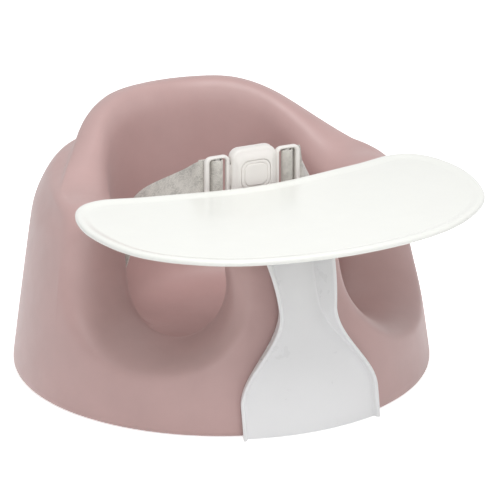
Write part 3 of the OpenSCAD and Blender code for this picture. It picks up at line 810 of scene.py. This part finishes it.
class TrayShape:
    """The tray's outline and the stem's channel, in millimetres."""

    def __init__(self, seat, belt, tray):
        self.seat = SeatShape(seat)
        self.t = Millimetres(tray)
        self.z = Millimetres(seat).armrest_height + TRAY_RISE
        b = Millimetres(belt)
        self.front = (-b.buckle_forward - b.buckle_thickness / 2 - TRAY_GAP
                      - TRAY_HALF[-1][1] * self.t.tray_length)
        self.head_w = (self.t.top_width + 2 * WALL_LEAN * (self.t.stem_depth + self.t.stem_wall)
                       + HEAD_SPARE)
        self.head_z = self.z - 0.1 - HEAD_THICKNESS
        self.head_y = -self.seat.front_r(self.head_z) - HEAD_BACK

    def outline(self):
        right = [(x * self.t.tray_width / 2, self.front + y * self.t.tray_length) for x, y in TRAY_HALF]
        return through(right + [(-x, y) for x, y in right[-2:0:-1]], OUTLINE_STEPS)

    def ring(self, outline, inset, z):
        along = np.roll(outline, -1, 0) - np.roll(outline, 1, 0)
        along /= np.linalg.norm(along, axis=1)[:, None]
        inner = outline + inset * np.stack([-along[:, 1], along[:, 0]], 1)
        return np.column_stack([inner, np.full(len(inner), self.z + z)])

    def half_w(self, z):
        """Half the stem's width: wide at the foot, narrow at the waist, wider under the tray."""
        t = self.t
        foot = ease((FLARE_END - z) / (FLARE_END - FLARE_START))
        top = max(0.0, (z - TOP_FLARE_START) / (self.head_z - TOP_FLARE_START)) ** 2
        return (t.waist_width + (t.foot_width - t.waist_width) * foot
                + (t.top_width - t.waist_width) * top) / 2

    def channel(self, z):
        """One level section of the stem: the back, a wall, its rounded lip, and the panel."""
        t, r, w = self.t.stem_wall, self.seat.front_r(z) + SEAT_GAP, self.half_w(z)
        depth = mix(FOOT_DEPTH, self.t.stem_depth, step(z, CHANNEL_DEEPENS))
        fillet = min(FILLET, FILLET_SHARE * depth)
        back, panel = on_arc(r, w), on_arc(r + t, w - t)
        lip, corner = panel - depth, w - t + WALL_LEAN * (back - panel)
        lean = WALL_LEAN * (back - lip)
        right = [(w * f, on_arc(r, w * f)) for f in np.linspace(0.1, 0.99, 10)]
        right += [(w + lean * f, mix(back, lip, f)) for f in (0.03, 0.2, 0.4, 0.6, 0.8, 0.97)]
        for i in range(LIP_STEPS + 1):
            a = 180 * i / LIP_STEPS
            right.append((w + lean - t / 2 + t / 2 * cos_of(a), lip - LIP_ROUND * sin_of(a)))
        right += [(corner + WALL_LEAN * depth * f, panel - depth * f) for f in (0.9, 0.7)]
        for a in (0, 30, 60, 90):
            x = corner + WALL_LEAN * fillet - (1 + WALL_LEAN) * fillet * (1 - cos_of(a))
            right.append((x, mix(panel - fillet, on_arc(r + t, x), sin_of(a))))
        edge = corner - fillet
        right += [(edge * f, on_arc(r + t, edge * f)) for f in np.linspace(0.9, 0.1, 9)]
        left = [(-x, y) for x, y in right]
        ring = [(0, -r), *left, (0, -r - t), *right[::-1]]
        return [(x, y, z) for x, y in ring]


# ---- Lights and camera ----
# name, place in metres, size in metres, watts
SOFTBOXES = (("front_above", (-0.2, -0.6, 1.3), 0.7, 8.9), ("overhead", (-0.3, -0.1, 1.7), 1.6, 3.2),
             ("beside_camera", (-0.88, -1.86, 0.86), 0.9, 3.6), ("right_fill", (1.8, -1.2, 0.9), 1.2, 4.3))
LIT_POINT = (0, 0, 0.1)
WORLD_LIGHT = 0.38
PAPER_GLOW = 0.72
FLOOR_SIZE = 8
FLOOR_HEIGHT = -0.0004
CAMERA_PLACE = (-1.36409, -2.94659, 1.31026)
CAMERA_AIM = (0.40055, 0.84738, -0.34857)
LENS = 277.2
SENSOR = 36


# ---- Materials ----
def add(tree, kind, links=None, stops=(), **settings):
    """Adds a node, sets its values and a ramp's stops, and links its inputs."""
    node = tree.nodes.new("ShaderNode" + kind)
    for key, value in settings.items():
        if hasattr(node, key):
            setattr(node, key, value)
        else:
            node.inputs[key.replace("_", " ")].default_value = value
    if stops:
        elements = node.color_ramp.elements
        while len(elements) < len(stops):
            elements.new(0.5)
        for element, (place, value) in zip(elements, stops):
            element.position = place
            element.color = value
    for name, source in (links or {}).items():
        tree.links.new(source, node.inputs[name])
    return node


def feed(tree, shader, **sources):
    """Links outputs to the shader's inputs of the same names."""
    for name, source in sources.items():
        tree.links.new(source, shader.inputs[name.replace("_", " ")])


def material(name, **values):
    """A material with a Principled shader and its uniform values."""
    made = bpy.data.materials.new(name)
    made.use_nodes = True
    tree = made.node_tree
    shader = next(n for n in tree.nodes if n.type == "BSDF_PRINCIPLED")
    for key, value in values.items():
        shader.inputs[key.replace("_", " ")].default_value = value
    return made, tree, shader


def darker(value, share):
    return tuple(c * share for c in value[:3]) + (1.0,)


def moulded_foam(name, seat_colour):
    """Self-skinned polyurethane foam: a soft satin skin with fine mould grain and faint mottling."""
    made, tree, shader = material(name, Roughness=0.47, IOR=1.48, Specular_IOR_Level=0.6,
                                  Sheen_Weight=0.12, Sheen_Roughness=0.45,
                                  Coat_Weight=0.2, Coat_Roughness=0.4)
    place = add(tree, "TexCoord").outputs["Object"]
    # slow tone changes about 40 mm across, as foam skins have where it cured at different speeds
    cloud = add(tree, "TexNoise", {"Vector": place}, Scale=25.0, Detail=3.0, Roughness=0.55)
    tone = add(tree, "ValToRGB", {"Fac": cloud.outputs["Fac"]},
               ((0.3, darker(seat_colour, 0.955)), (0.7, darker(seat_colour, 1.03))))
    # fine grain of the mould, 0.9 mm where the real 0.3 mm would not show
    grain = add(tree, "TexNoise", {"Vector": place}, Scale=1100.0, Detail=2.0)
    # low waves 12 mm across break up the highlights as on a soft skin
    wave = add(tree, "TexNoise", {"Vector": place}, Scale=80.0, Detail=2.0)
    fine = add(tree, "Bump", {"Height": grain.outputs["Fac"]}, Strength=0.12, Distance=0.0002)
    soft = add(tree, "Bump", {"Height": wave.outputs["Fac"], "Normal": fine.outputs["Normal"]},
               Strength=0.18, Distance=0.0006)
    satin = add(tree, "MapRange", {"Value": wave.outputs["Fac"]},
                From_Min=0.3, From_Max=0.7, To_Min=0.43, To_Max=0.52)
    feed(tree, shader, Base_Color=tone.outputs["Color"], Roughness=satin.outputs["Result"],
         Normal=soft.outputs["Normal"])
    return made


def woven_polyester(name, yarn_colour):
    """Woven polyester webbing: matt yarns in a fine twill with a mottled grey melange, and painted shade in
    the weave's hollows.
    """
    made, tree, shader = material(name, Roughness=0.82, IOR=1.5, Sheen_Weight=0.3, Sheen_Roughness=0.45)
    uv = add(tree, "UVMap", uv_map="UVMap").outputs["UV"]
    # warp cords 1.1 mm apart run along the strap, with slanting picks 0.8 mm apart across it
    cords = add(tree, "TexWave", {"Vector": uv}, wave_type="BANDS", bands_direction="X", Scale=285.0,
                Distortion=0.5, Detail=1.0)
    picks = add(tree, "TexWave", {"Vector": uv}, wave_type="BANDS", bands_direction="DIAGONAL", Scale=390.0,
                Distortion=0.8, Detail=1.0)
    weave = add(tree, "Math", {0: cords.outputs["Fac"], 1: picks.outputs["Fac"]}, operation="MULTIPLY")
    # darker yarn shows in flecks 2 mm long, and in soft clouds 9 mm across
    stretch = add(tree, "Mapping", {"Vector": uv}, vector_type="POINT", Scale=(900, 420, 1))
    fleck = add(tree, "TexNoise", {"Vector": stretch.outputs["Vector"]}, Scale=1.0, Detail=3.0)
    cloud = add(tree, "TexNoise", {"Vector": uv}, Scale=110.0, Detail=2.0)
    blot = add(tree, "Math", {0: fleck.outputs["Fac"], 1: cloud.outputs["Fac"]}, operation="ADD")
    half = add(tree, "Math", {0: blot.outputs["Value"]}, operation="MULTIPLY")
    half.inputs[1].default_value = 0.5
    melange = add(tree, "ValToRGB", {"Fac": half.outputs["Value"]},
                  ((0.38, darker(yarn_colour, 0.74)), (0.5, yarn_colour), (0.62, darker(yarn_colour, 1.12))))
    # painted shade: the weave's hollows between the yarns are darkened, as shade falls there
    weave_shade = add(tree, "ValToRGB", {"Fac": weave.outputs["Value"]},
                 ((0.0, linear("#C6C6C2")), (0.5, linear("#FFFFFF"))))
    tone = add(tree, "Mix", {"A": melange.outputs["Color"], "B": weave_shade.outputs["Color"]},
               data_type="RGBA", blend_type="MULTIPLY", Factor=0.7)
    bump = add(tree, "Bump", {"Height": weave.outputs["Value"]}, Strength=0.35, Distance=0.0002)
    feed(tree, shader, Base_Color=tone.outputs["Result"], Normal=bump.outputs["Normal"])
    return made


def moulded_plastic(name, plastic_colour, roughness, grain):
    """An injection moulding: its gloss is a little uneven and its skin has the mould's grain."""
    made, tree, shader = material(name, IOR=1.5)
    place = add(tree, "TexCoord").outputs["Object"]
    # smears of gloss about 30 mm across, as handling leaves on light plastic
    smear = add(tree, "TexNoise", {"Vector": place}, Scale=34.0, Detail=4.0, Roughness=0.6)
    gloss = add(tree, "MapRange", {"Value": smear.outputs["Fac"]}, From_Min=0.3, From_Max=0.7,
                To_Min=roughness * 0.85, To_Max=roughness * 1.2)
    tone = add(tree, "ValToRGB", {"Fac": smear.outputs["Fac"]},
               ((0.25, darker(plastic_colour, 0.985)), (0.75, plastic_colour)))
    # the mould's spark-eroded grain, drawn 0.6 mm across
    spark = add(tree, "TexNoise", {"Vector": place}, Scale=1600.0, Detail=1.0)
    bump = add(tree, "Bump", {"Height": spark.outputs["Fac"]}, Strength=grain, Distance=0.0001)
    feed(tree, shader, Base_Color=tone.outputs["Color"], Roughness=gloss.outputs["Result"],
         Normal=bump.outputs["Normal"])
    return made


def spring_wire(name):
    """Drawn stainless spring wire: fine streaks along the coils."""
    made, tree, shader = material(name, Metallic=1.0, Roughness=0.3)
    place = add(tree, "TexCoord").outputs["Object"]
    streak = add(tree, "TexNoise", {"Vector": place}, Scale=2500.0, Detail=2.0)
    gloss = add(tree, "MapRange", {"Value": streak.outputs["Fac"]},
                From_Min=0.3, From_Max=0.7, To_Min=0.24, To_Max=0.38)
    tone = add(tree, "ValToRGB", {"Fac": streak.outputs["Fac"]},
               ((0.3, linear("#8F9397")), (0.7, linear("#BFC3C7"))))
    feed(tree, shader, Base_Color=tone.outputs["Color"], Roughness=gloss.outputs["Result"])
    return made


def seen_directly(tree):
    """One where a ray comes straight from the camera or through a gloss, and nothing elsewhere."""
    ray = add(tree, "LightPath")
    seen = add(tree, "Math", {0: ray.outputs["Is Camera Ray"], 1: ray.outputs["Is Glossy Ray"]},
               operation="MAXIMUM")
    return add(tree, "Math", {0: seen.outputs[0], 1: ray.outputs["Is Transmission Ray"]},
               operation="MAXIMUM").outputs[0]


def white_paper(paper_colour):
    """The studio's paper: white to the camera, with the object's soft shadow left on it."""
    made, tree, shader = material("matt_white_paper_sweep", Base_Color=paper_colour, Roughness=0.9,
                                  Emission_Color=(1, 1, 1, 1))
    glow = add(tree, "MapRange", {"Value": seen_directly(tree)}, To_Min=0.0, To_Max=PAPER_GLOW)
    feed(tree, shader, Emission_Strength=glow.outputs["Result"])
    return made


# what each slot is made of: its material's name and maker, then the roughness and the grain's strength
FINISHES = {
    "foam": ("moulded_polyurethane_foam_skin", moulded_foam),
    "webbing": ("woven_polyester_webbing", woven_polyester),
    "buckle": ("moulded_acetal_buckle", moulded_plastic, 0.34, 0.06),
    "tray": ("moulded_glossy_polypropylene", moulded_plastic, 0.2, 0.02),
    "stem": ("moulded_satin_polypropylene", moulded_plastic, 0.3, 0.04),
    "spring": ("drawn_stainless_spring_wire", spring_wire),
}


def finish(slot):
    """The material of one slot, in the panel's colour if it has one, made when first asked for."""
    name, maker, *settings = FINISHES[slot]
    if name in bpy.data.materials:
        return bpy.data.materials[name]
    chosen = getattr(bpy.context.scene.floor_seat_colours, slot, None)
    return maker(name, *([tuple(chosen)] if chosen else []), *settings)


def dress(piece, made):
    piece.data.materials.clear()
    piece.data.materials.append(made)
    return piece


# ---- Operators: one for each group of pieces ----
SLOT_PLAY = 2.6
SLOT_OVERRUN = 15
SLOT_ROUND = 1.6
CROTCH_SLOT_TOP = 74
RECESS_CORNER = 5
RECESS_TOP = ANCHOR_TOP + 0.3
HIP_RECESS = (13, 25)
CROTCH_RECESS = (25, 13)
FOOT_RECESS = ((-32, -195, -1), (32, -157, 5))
ANCHOR_EDGE = 0.4


def groups():
    scene = bpy.context.scene
    return scene.floor_seat_sizes, scene.floor_seat_belt, scene.floor_seat_tray


class FLOORSEAT_OT_foam(bpy.types.Operator):
    """Lofts the moulded foam seat and cuts its slots and recesses"""
    bl_idname = "floorseat.foam"
    bl_label = "Foam seat"

    def execute(self, context):
        seat, belt = groups()[:2]
        path = BeltShape(seat, belt)
        foam = loft("seat_foam_skin", SeatShape(seat).rings())
        finished(foam, "SUBSURF", levels=1, render_levels=1, boundary_smooth="PRESERVE_CORNERS")
        thin, wide = path.slot / 2, (path.b.webbing_width + SLOT_PLAY) / 2
        tools = []
        for side in (1, -1):
            low = path.hip_top - (thin, wide, path.hip_length + SLOT_OVERRUN)
            tool = block(low, path.hip_top + (thin, wide, SLOT_OVERRUN), SLOT_ROUND, 3)
            lean = math.atan2(path.hip_foot[0] - path.hip_top[0], path.hip_top[2])
            turned(tool, -lean, (0, 1, 0), path.hip_top)
            if side < 0:
                turned(tool, math.pi, (0, 0, 1), (0, HIP_Y, 0))
            tools += [tool, self.recess(side * path.anchor_x, HIP_Y, *HIP_RECESS)]
        y = path.buckle[1]
        tools.append(block((-wide, y - thin, -1), (wide, y + thin, CROTCH_SLOT_TOP), SLOT_ROUND, 3))
        tools.append(self.recess(0, y, *CROTCH_RECESS))
        tools.append(block(*FOOT_RECESS, 2, 3))
        cut(foam, *tools)
        smooth(foam, 40)
        dress(foam, finish("foam"))
        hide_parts("seat_foam")
        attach(foam, "seat")
        return {"FINISHED"}

    def recess(self, x, y, across, along):
        """The upright pocket under the base for an anchor."""
        return block((x - across, y - along, -1), (x + across, y + along, RECESS_TOP),
                     RECESS_CORNER, 5, True)


class FLOORSEAT_OT_belt(bpy.types.Operator):
    """Makes the three webbing straps with their loops and sewn ends"""
    bl_idname = "floorseat.belt"
    bl_label = "Belt webbing"

    def execute(self, context):
        path = BeltShape(*groups()[:2])
        width, thick = path.b.webbing_width, path.thick
        places, widths = path.hip()
        for side, node in ((1, "right"), (-1, "left")):
            strap = webbing(node + "_hip_webbing", places * (side, 1, 1), widths * (1, -side, -side),
                            width, thick)
            roll = sewn_roll(side * (path.anchor_x + 2), HIP_Y, (math.pi / 2, 0, 0), width)
            strap = joined(node + "_hip_webbing", strap, roll)
            dress(strap, finish("webbing"))
            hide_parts(node + "_hip_strap")
            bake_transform(strap)
        strap = webbing("crotch_webbing", *path.crotch(), width, thick)
        roll = sewn_roll(0, path.buckle[1], (0, math.pi / 2, 0), width)
        strap = joined("crotch_webbing", strap, roll)
        dress(strap, finish("webbing"))
        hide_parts("crotch_strap")
        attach(strap, "seat")
        return {"FINISHED"}


class FLOORSEAT_OT_hardware(bpy.types.Operator):
    """Finishes the buckle, its tongues, its spring and the strap anchors"""
    bl_idname = "floorseat.hardware"
    bl_label = "Buckle and anchors"

    def execute(self, context):
        shape = BuckleShape(*groups()[:2])
        for name, rings, ends in (("front", shape.front(), "loop"), ("back", shape.back(), "fan")):
            case = loft("buckle_" + name + "_shell", stood(rings, shape.at), ends=ends)
            cut(case, *(self.mouth(shape, side) for side in (1, -1)))
            if name == "back":
                case = joined("buckle_back_shell", case, *self.behind(shape))
            self.keep(case, "buckle_" + name + "_cover", "seat")
        button = joined("crowned_button", loft("button_cap", stood(shape.button(), shape.at)),
                        loft("spring_cup", stood(shape.cup(), shape.at), ends="loop"))
        self.keep(button, "release_button", "button")
        right = self.tongue(shape)
        left = turned(new_piece("rounded_tongue", right.data.copy()), math.pi, (0, 0, 1), shape.at)
        self.keep(right, "right_tongue", "right_tongue")
        self.keep(left, "left_tongue", "left_tongue")
        for node in ("left_strap_anchor", "right_strap_anchor", "crotch_strap_anchor"):
            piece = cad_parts[node]
            weld = piece.modifiers.new("Weld", "WELD")
            weld.merge_threshold = 0.01 * MM
            bevel = piece.modifiers.new("Edge", "BEVEL")
            bevel.width, bevel.segments, bevel.limit_method = ANCHOR_EDGE * MM, 3, "ANGLE"
            bevel.angle_limit = math.radians(38)
            dress(piece, finish("buckle"))
        self.spring(shape)
        return {"FINISHED"}

    def keep(self, piece, node, body):
        smooth(dress(piece, finish("buckle")), 35)
        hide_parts(node)
        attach(piece, body)

    def mouth(self, shape, side):
        """The opening in one side of the case that a tongue's neck goes into."""
        x, y, z = shape.at + (side * (shape.case[0] / 2 + 3), 0, 0)
        thick, high = NECK_THICKNESS / 2 + CLEARANCE, NECK_HEIGHT / 2 + CLEARANCE
        return block((x - 4, y - thick, z - high), (x + 4, y + thick, z + high))

    def behind(self, shape):
        """The spring's post inside the back shell, and the two arms and bar for the crotch strap."""
        x, y, z = shape.at
        floor = y + shape.half - CASE_WALL
        parts = [rod((x, floor + 0.3, z), (x, floor - POST_LENGTH, z), POST_RADIUS)]
        drop, back = shape.b.webbing_width / 2 + LUG_DROP, y + LUG_BACK
        inner, edge = shape.b.webbing_width / 2 + 0.6, LUG_RADIUS + 1.2
        for low in (inner, -inner - LUG_WIDTH):
            parts.append(block((low, back - edge, z - drop - edge),
                               (low + LUG_WIDTH, back + edge, z - shape.case[1] / 2 + 5), 1.2, 3))
        parts.append(rod((-inner - 1, back, z - drop), (inner + 1, back, z - drop), LUG_RADIUS))
        return parts

    def tongue(self, shape):
        """The frame, the bar that the webbing turns round, and the neck that enters the case."""
        y, z = shape.at[1:]
        end = shape.b.buckle_width / 2 + TONGUE_GAP
        bar, half = end + BAR_PLACE, shape.b.webbing_width / 2 + 1.3
        neck, tall = NECK_THICKNESS / 2 - 0.1, NECK_HEIGHT / 2 - 1
        return joined("rounded_tongue",
                      loft("tongue_frame", stood(shape.tongue(), shape.at), ends="loop"),
                      block((bar - BAR_WIDTH / 2, y - BAR_THICKNESS / 2, z - half),
                            (bar + BAR_WIDTH / 2, y + BAR_THICKNESS / 2, z + half), 1.1, 3),
                      block((10, y - neck, z - tall), (end + 1.5, y + neck, z + tall), 0.6, 2))

    def spring(self, shape):
        """The frame's coil spring, copied and dressed in spring wire."""
        coils = new_piece("coil_spring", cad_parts["button_spring"].data.copy())
        dress(coils, finish("spring"))
        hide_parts("button_spring")
        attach(coils, "seat")
        depths = [vertex.co.y for vertex in coils.data.vertices]
        shape.at[2] * MM
        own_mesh(coils)


class FLOORSEAT_OT_tray(bpy.types.Operator):
    """Makes the play tray with its rolled edge, its shallow dish and the frame under it"""
    bl_idname = "floorseat.tray"
    bl_label = "Play tray"

    def execute(self, context):
        shape = TrayShape(*groups())
        outline, plate = shape.outline(), shape.t.plate
        lip_z = plate + shape.t.lip
        rings = [shape.ring(outline, 8, 0)]
        rings += [shape.ring(outline, inset, share * lip_z) for inset, share in TRAY_EDGE]
        for i in range(1, DISH_STEPS + 1):
            share = i / DISH_STEPS
            rings.append(shape.ring(outline, mix(TRAY_EDGE[-1][0], DISH_EDGE, share),
                                    mix(lip_z, plate, ease(share))))
        low, top = shape.z - HEAD_THICKNESS - FRAME_DROP, shape.z + 0.5
        inside = (shape.head_w + 2 * CLEARANCE, HEAD_LENGTH + 2 * CLEARANCE, HEAD_CORNER)
        under = [rounded(inside, inset, z) + (0, shape.head_y, 0) for inset, z in
                 ((-FRAME_WALL + 0.5, low), (-FRAME_WALL, low + 0.5), (-FRAME_WALL, top),
                  (0, top), (0, low + 0.4), (-0.4, low))]
        tray = joined("play_tray", loft("tray_plate", rings), loft("snap_frame", under, ends="loop"))
        smooth(dress(tray, finish("tray")), 40)
        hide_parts("tray_top")
        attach(tray, "tray")
        return {"FINISHED"}


class FLOORSEAT_OT_stem(bpy.types.Operator):
    """Makes the channel-shaped stem with its foot, its ribs and its head plate"""
    bl_idname = "floorseat.stem"
    bl_label = "Tray stem"

    def execute(self, context):
        shape = TrayShape(*groups())
        heights = (0.5, 1.1, 1.9, *np.linspace(4, shape.head_z + 1, 84))
        channel = loft("stem_channel", [shape.channel(z) for z in heights], ends="flat")
        outline = (shape.head_w, HEAD_LENGTH, HEAD_CORNER)
        head = loft("stem_head", [rounded(outline, inset, shape.head_z + z) + (0, shape.head_y, 0)
                                  for inset, z in ((0.4, 0), (0, 0.4), (0, HEAD_THICKNESS - 0.4),
                                                   (0.4, HEAD_THICKNESS))])
        ribs = [self.rib(shape, i * shape.head_w / 3) for i in (-1, 0, 1)]
        width, reach, thick = FOOT_TONGUE
        foot_y = -shape.seat.front_r(0) - SEAT_GAP - 0.5
        foot = block((-width / 2, foot_y, 1), (width / 2, foot_y + reach, 1 + thick), 0.8, 3)
        stem = joined("play_tray_stem", channel, head, *ribs, foot)
        smooth(dress(stem, finish("stem")), 38)
        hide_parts("tray_stem")
        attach(stem, "tray")
        return {"FINISHED"}

    def rib(self, shape, x):
        """A rib from the back of the channel along the underside of the head plate."""
        low, high = shape.seat.s.pommel_height + 1, shape.head_z + 1
        gap = SEAT_GAP + shape.t.stem_wall / 2
        rear = RIB_LENGTH / 2 - shape.seat.pommel_r
        side = [(rear - 3, low), (rear, low + 3), (rear, high)]
        side += [(on_arc(shape.seat.front_r(z) + gap, x), z) for z in (high, low)]
        half = RIB_THICKNESS / 2
        return loft("stem_rib", [[(place, y, z) for y, z in side] for place in (x - half, x + half)],
                    ends="flat")


class FLOORSEAT_OT_stage(bpy.types.Operator):
    """Sets up the studio floor, the soft lights and the camera"""
    bl_idname = "floorseat.stage"
    bl_label = "Studio"

    def execute(self, context):
        scene = context.scene
        bpy.ops.object.select_all(action="DESELECT")
        bpy.ops.mesh.primitive_plane_add(size=FLOOR_SIZE, location=(0, 0, FLOOR_HEIGHT))
        floor = context.object
        floor.name = "studio_floor"
        dress(floor, white_paper(tuple(scene.floor_seat_colours.floor)))
        world = bpy.data.worlds.new("studio")
        scene.world = world
        world.use_nodes = True
        sky = world.node_tree
        back = next(n for n in sky.nodes if n.type == "BACKGROUND")
        back.inputs["Color"].default_value = (1, 1, 1, 1)
        level = add(sky, "MapRange", {"Value": seen_directly(sky)}, To_Min=WORLD_LIGHT, To_Max=1.0)
        feed(sky, back, Strength=level.outputs["Result"])
        for name, place, size, power in SOFTBOXES:
            bpy.ops.object.light_add(type="AREA", location=place)
            lamp = context.object
            lamp.name = "softbox_" + name
            lamp.data.size, lamp.data.energy = size, power
            self.aim(lamp, Vector(LIT_POINT) - Vector(place))
        bpy.ops.object.camera_add(location=CAMERA_PLACE)
        camera = context.object
        camera.name = "camera"
        self.aim(camera, Vector(CAMERA_AIM))
        camera.data.lens, camera.data.sensor_width = LENS, SENSOR
        scene.camera = camera
        scene.view_settings.view_transform = "Standard"
        return {"FINISHED"}

    def aim(self, thing, direction):
        thing.rotation_euler = direction.to_track_quat("-Z", "Y").to_euler()


class FLOORSEAT_PT_panel(bpy.types.Panel):
    """Sizes, colours and pieces of the floor seat"""
    bl_idname = "FLOORSEAT_PT_panel"
    bl_label = "Floor seat"
    bl_space_type = "VIEW_3D"
    bl_region_type = "UI"
    bl_category = "Floor seat"

    def draw(self, context):
        for group in (*groups(), context.scene.floor_seat_colours):
            box = self.layout.box()
            for name in group.__annotations__:
                box.prop(group, name)
        for operator in OPERATORS:
            self.layout.operator(operator.bl_idname)


OPERATORS = (FLOORSEAT_OT_foam, FLOORSEAT_OT_belt, FLOORSEAT_OT_hardware, FLOORSEAT_OT_tray,
             FLOORSEAT_OT_stem, FLOORSEAT_OT_stage)
CLASSES = (SeatSizes, BeltSizes, TraySizes, SeatColours, *OPERATORS, FLOORSEAT_PT_panel)
GROUPS = {"floor_seat_sizes": SeatSizes, "floor_seat_belt": BeltSizes,
          "floor_seat_tray": TraySizes, "floor_seat_colours": SeatColours}


def register():
    for cls in CLASSES:
        bpy.utils.register_class(cls)
    for name, group in GROUPS.items():
        setattr(bpy.types.Scene, name, bpy.props.PointerProperty(type=group))


def unregister():
    for name in GROUPS:
        delattr(bpy.types.Scene, name)
    for cls in reversed(CLASSES):
        bpy.utils.unregister_class(cls)


def main():
    register()
    bpy.ops.object.select_all(action="DESELECT")
    bpy.ops.floorseat.foam()
    bpy.ops.floorseat.belt()
    bpy.ops.floorseat.hardware()
    bpy.ops.floorseat.tray()
    bpy.ops.floorseat.stem()
    bpy.ops.floorseat.stage()


if __name__ == "__main__":
    main()
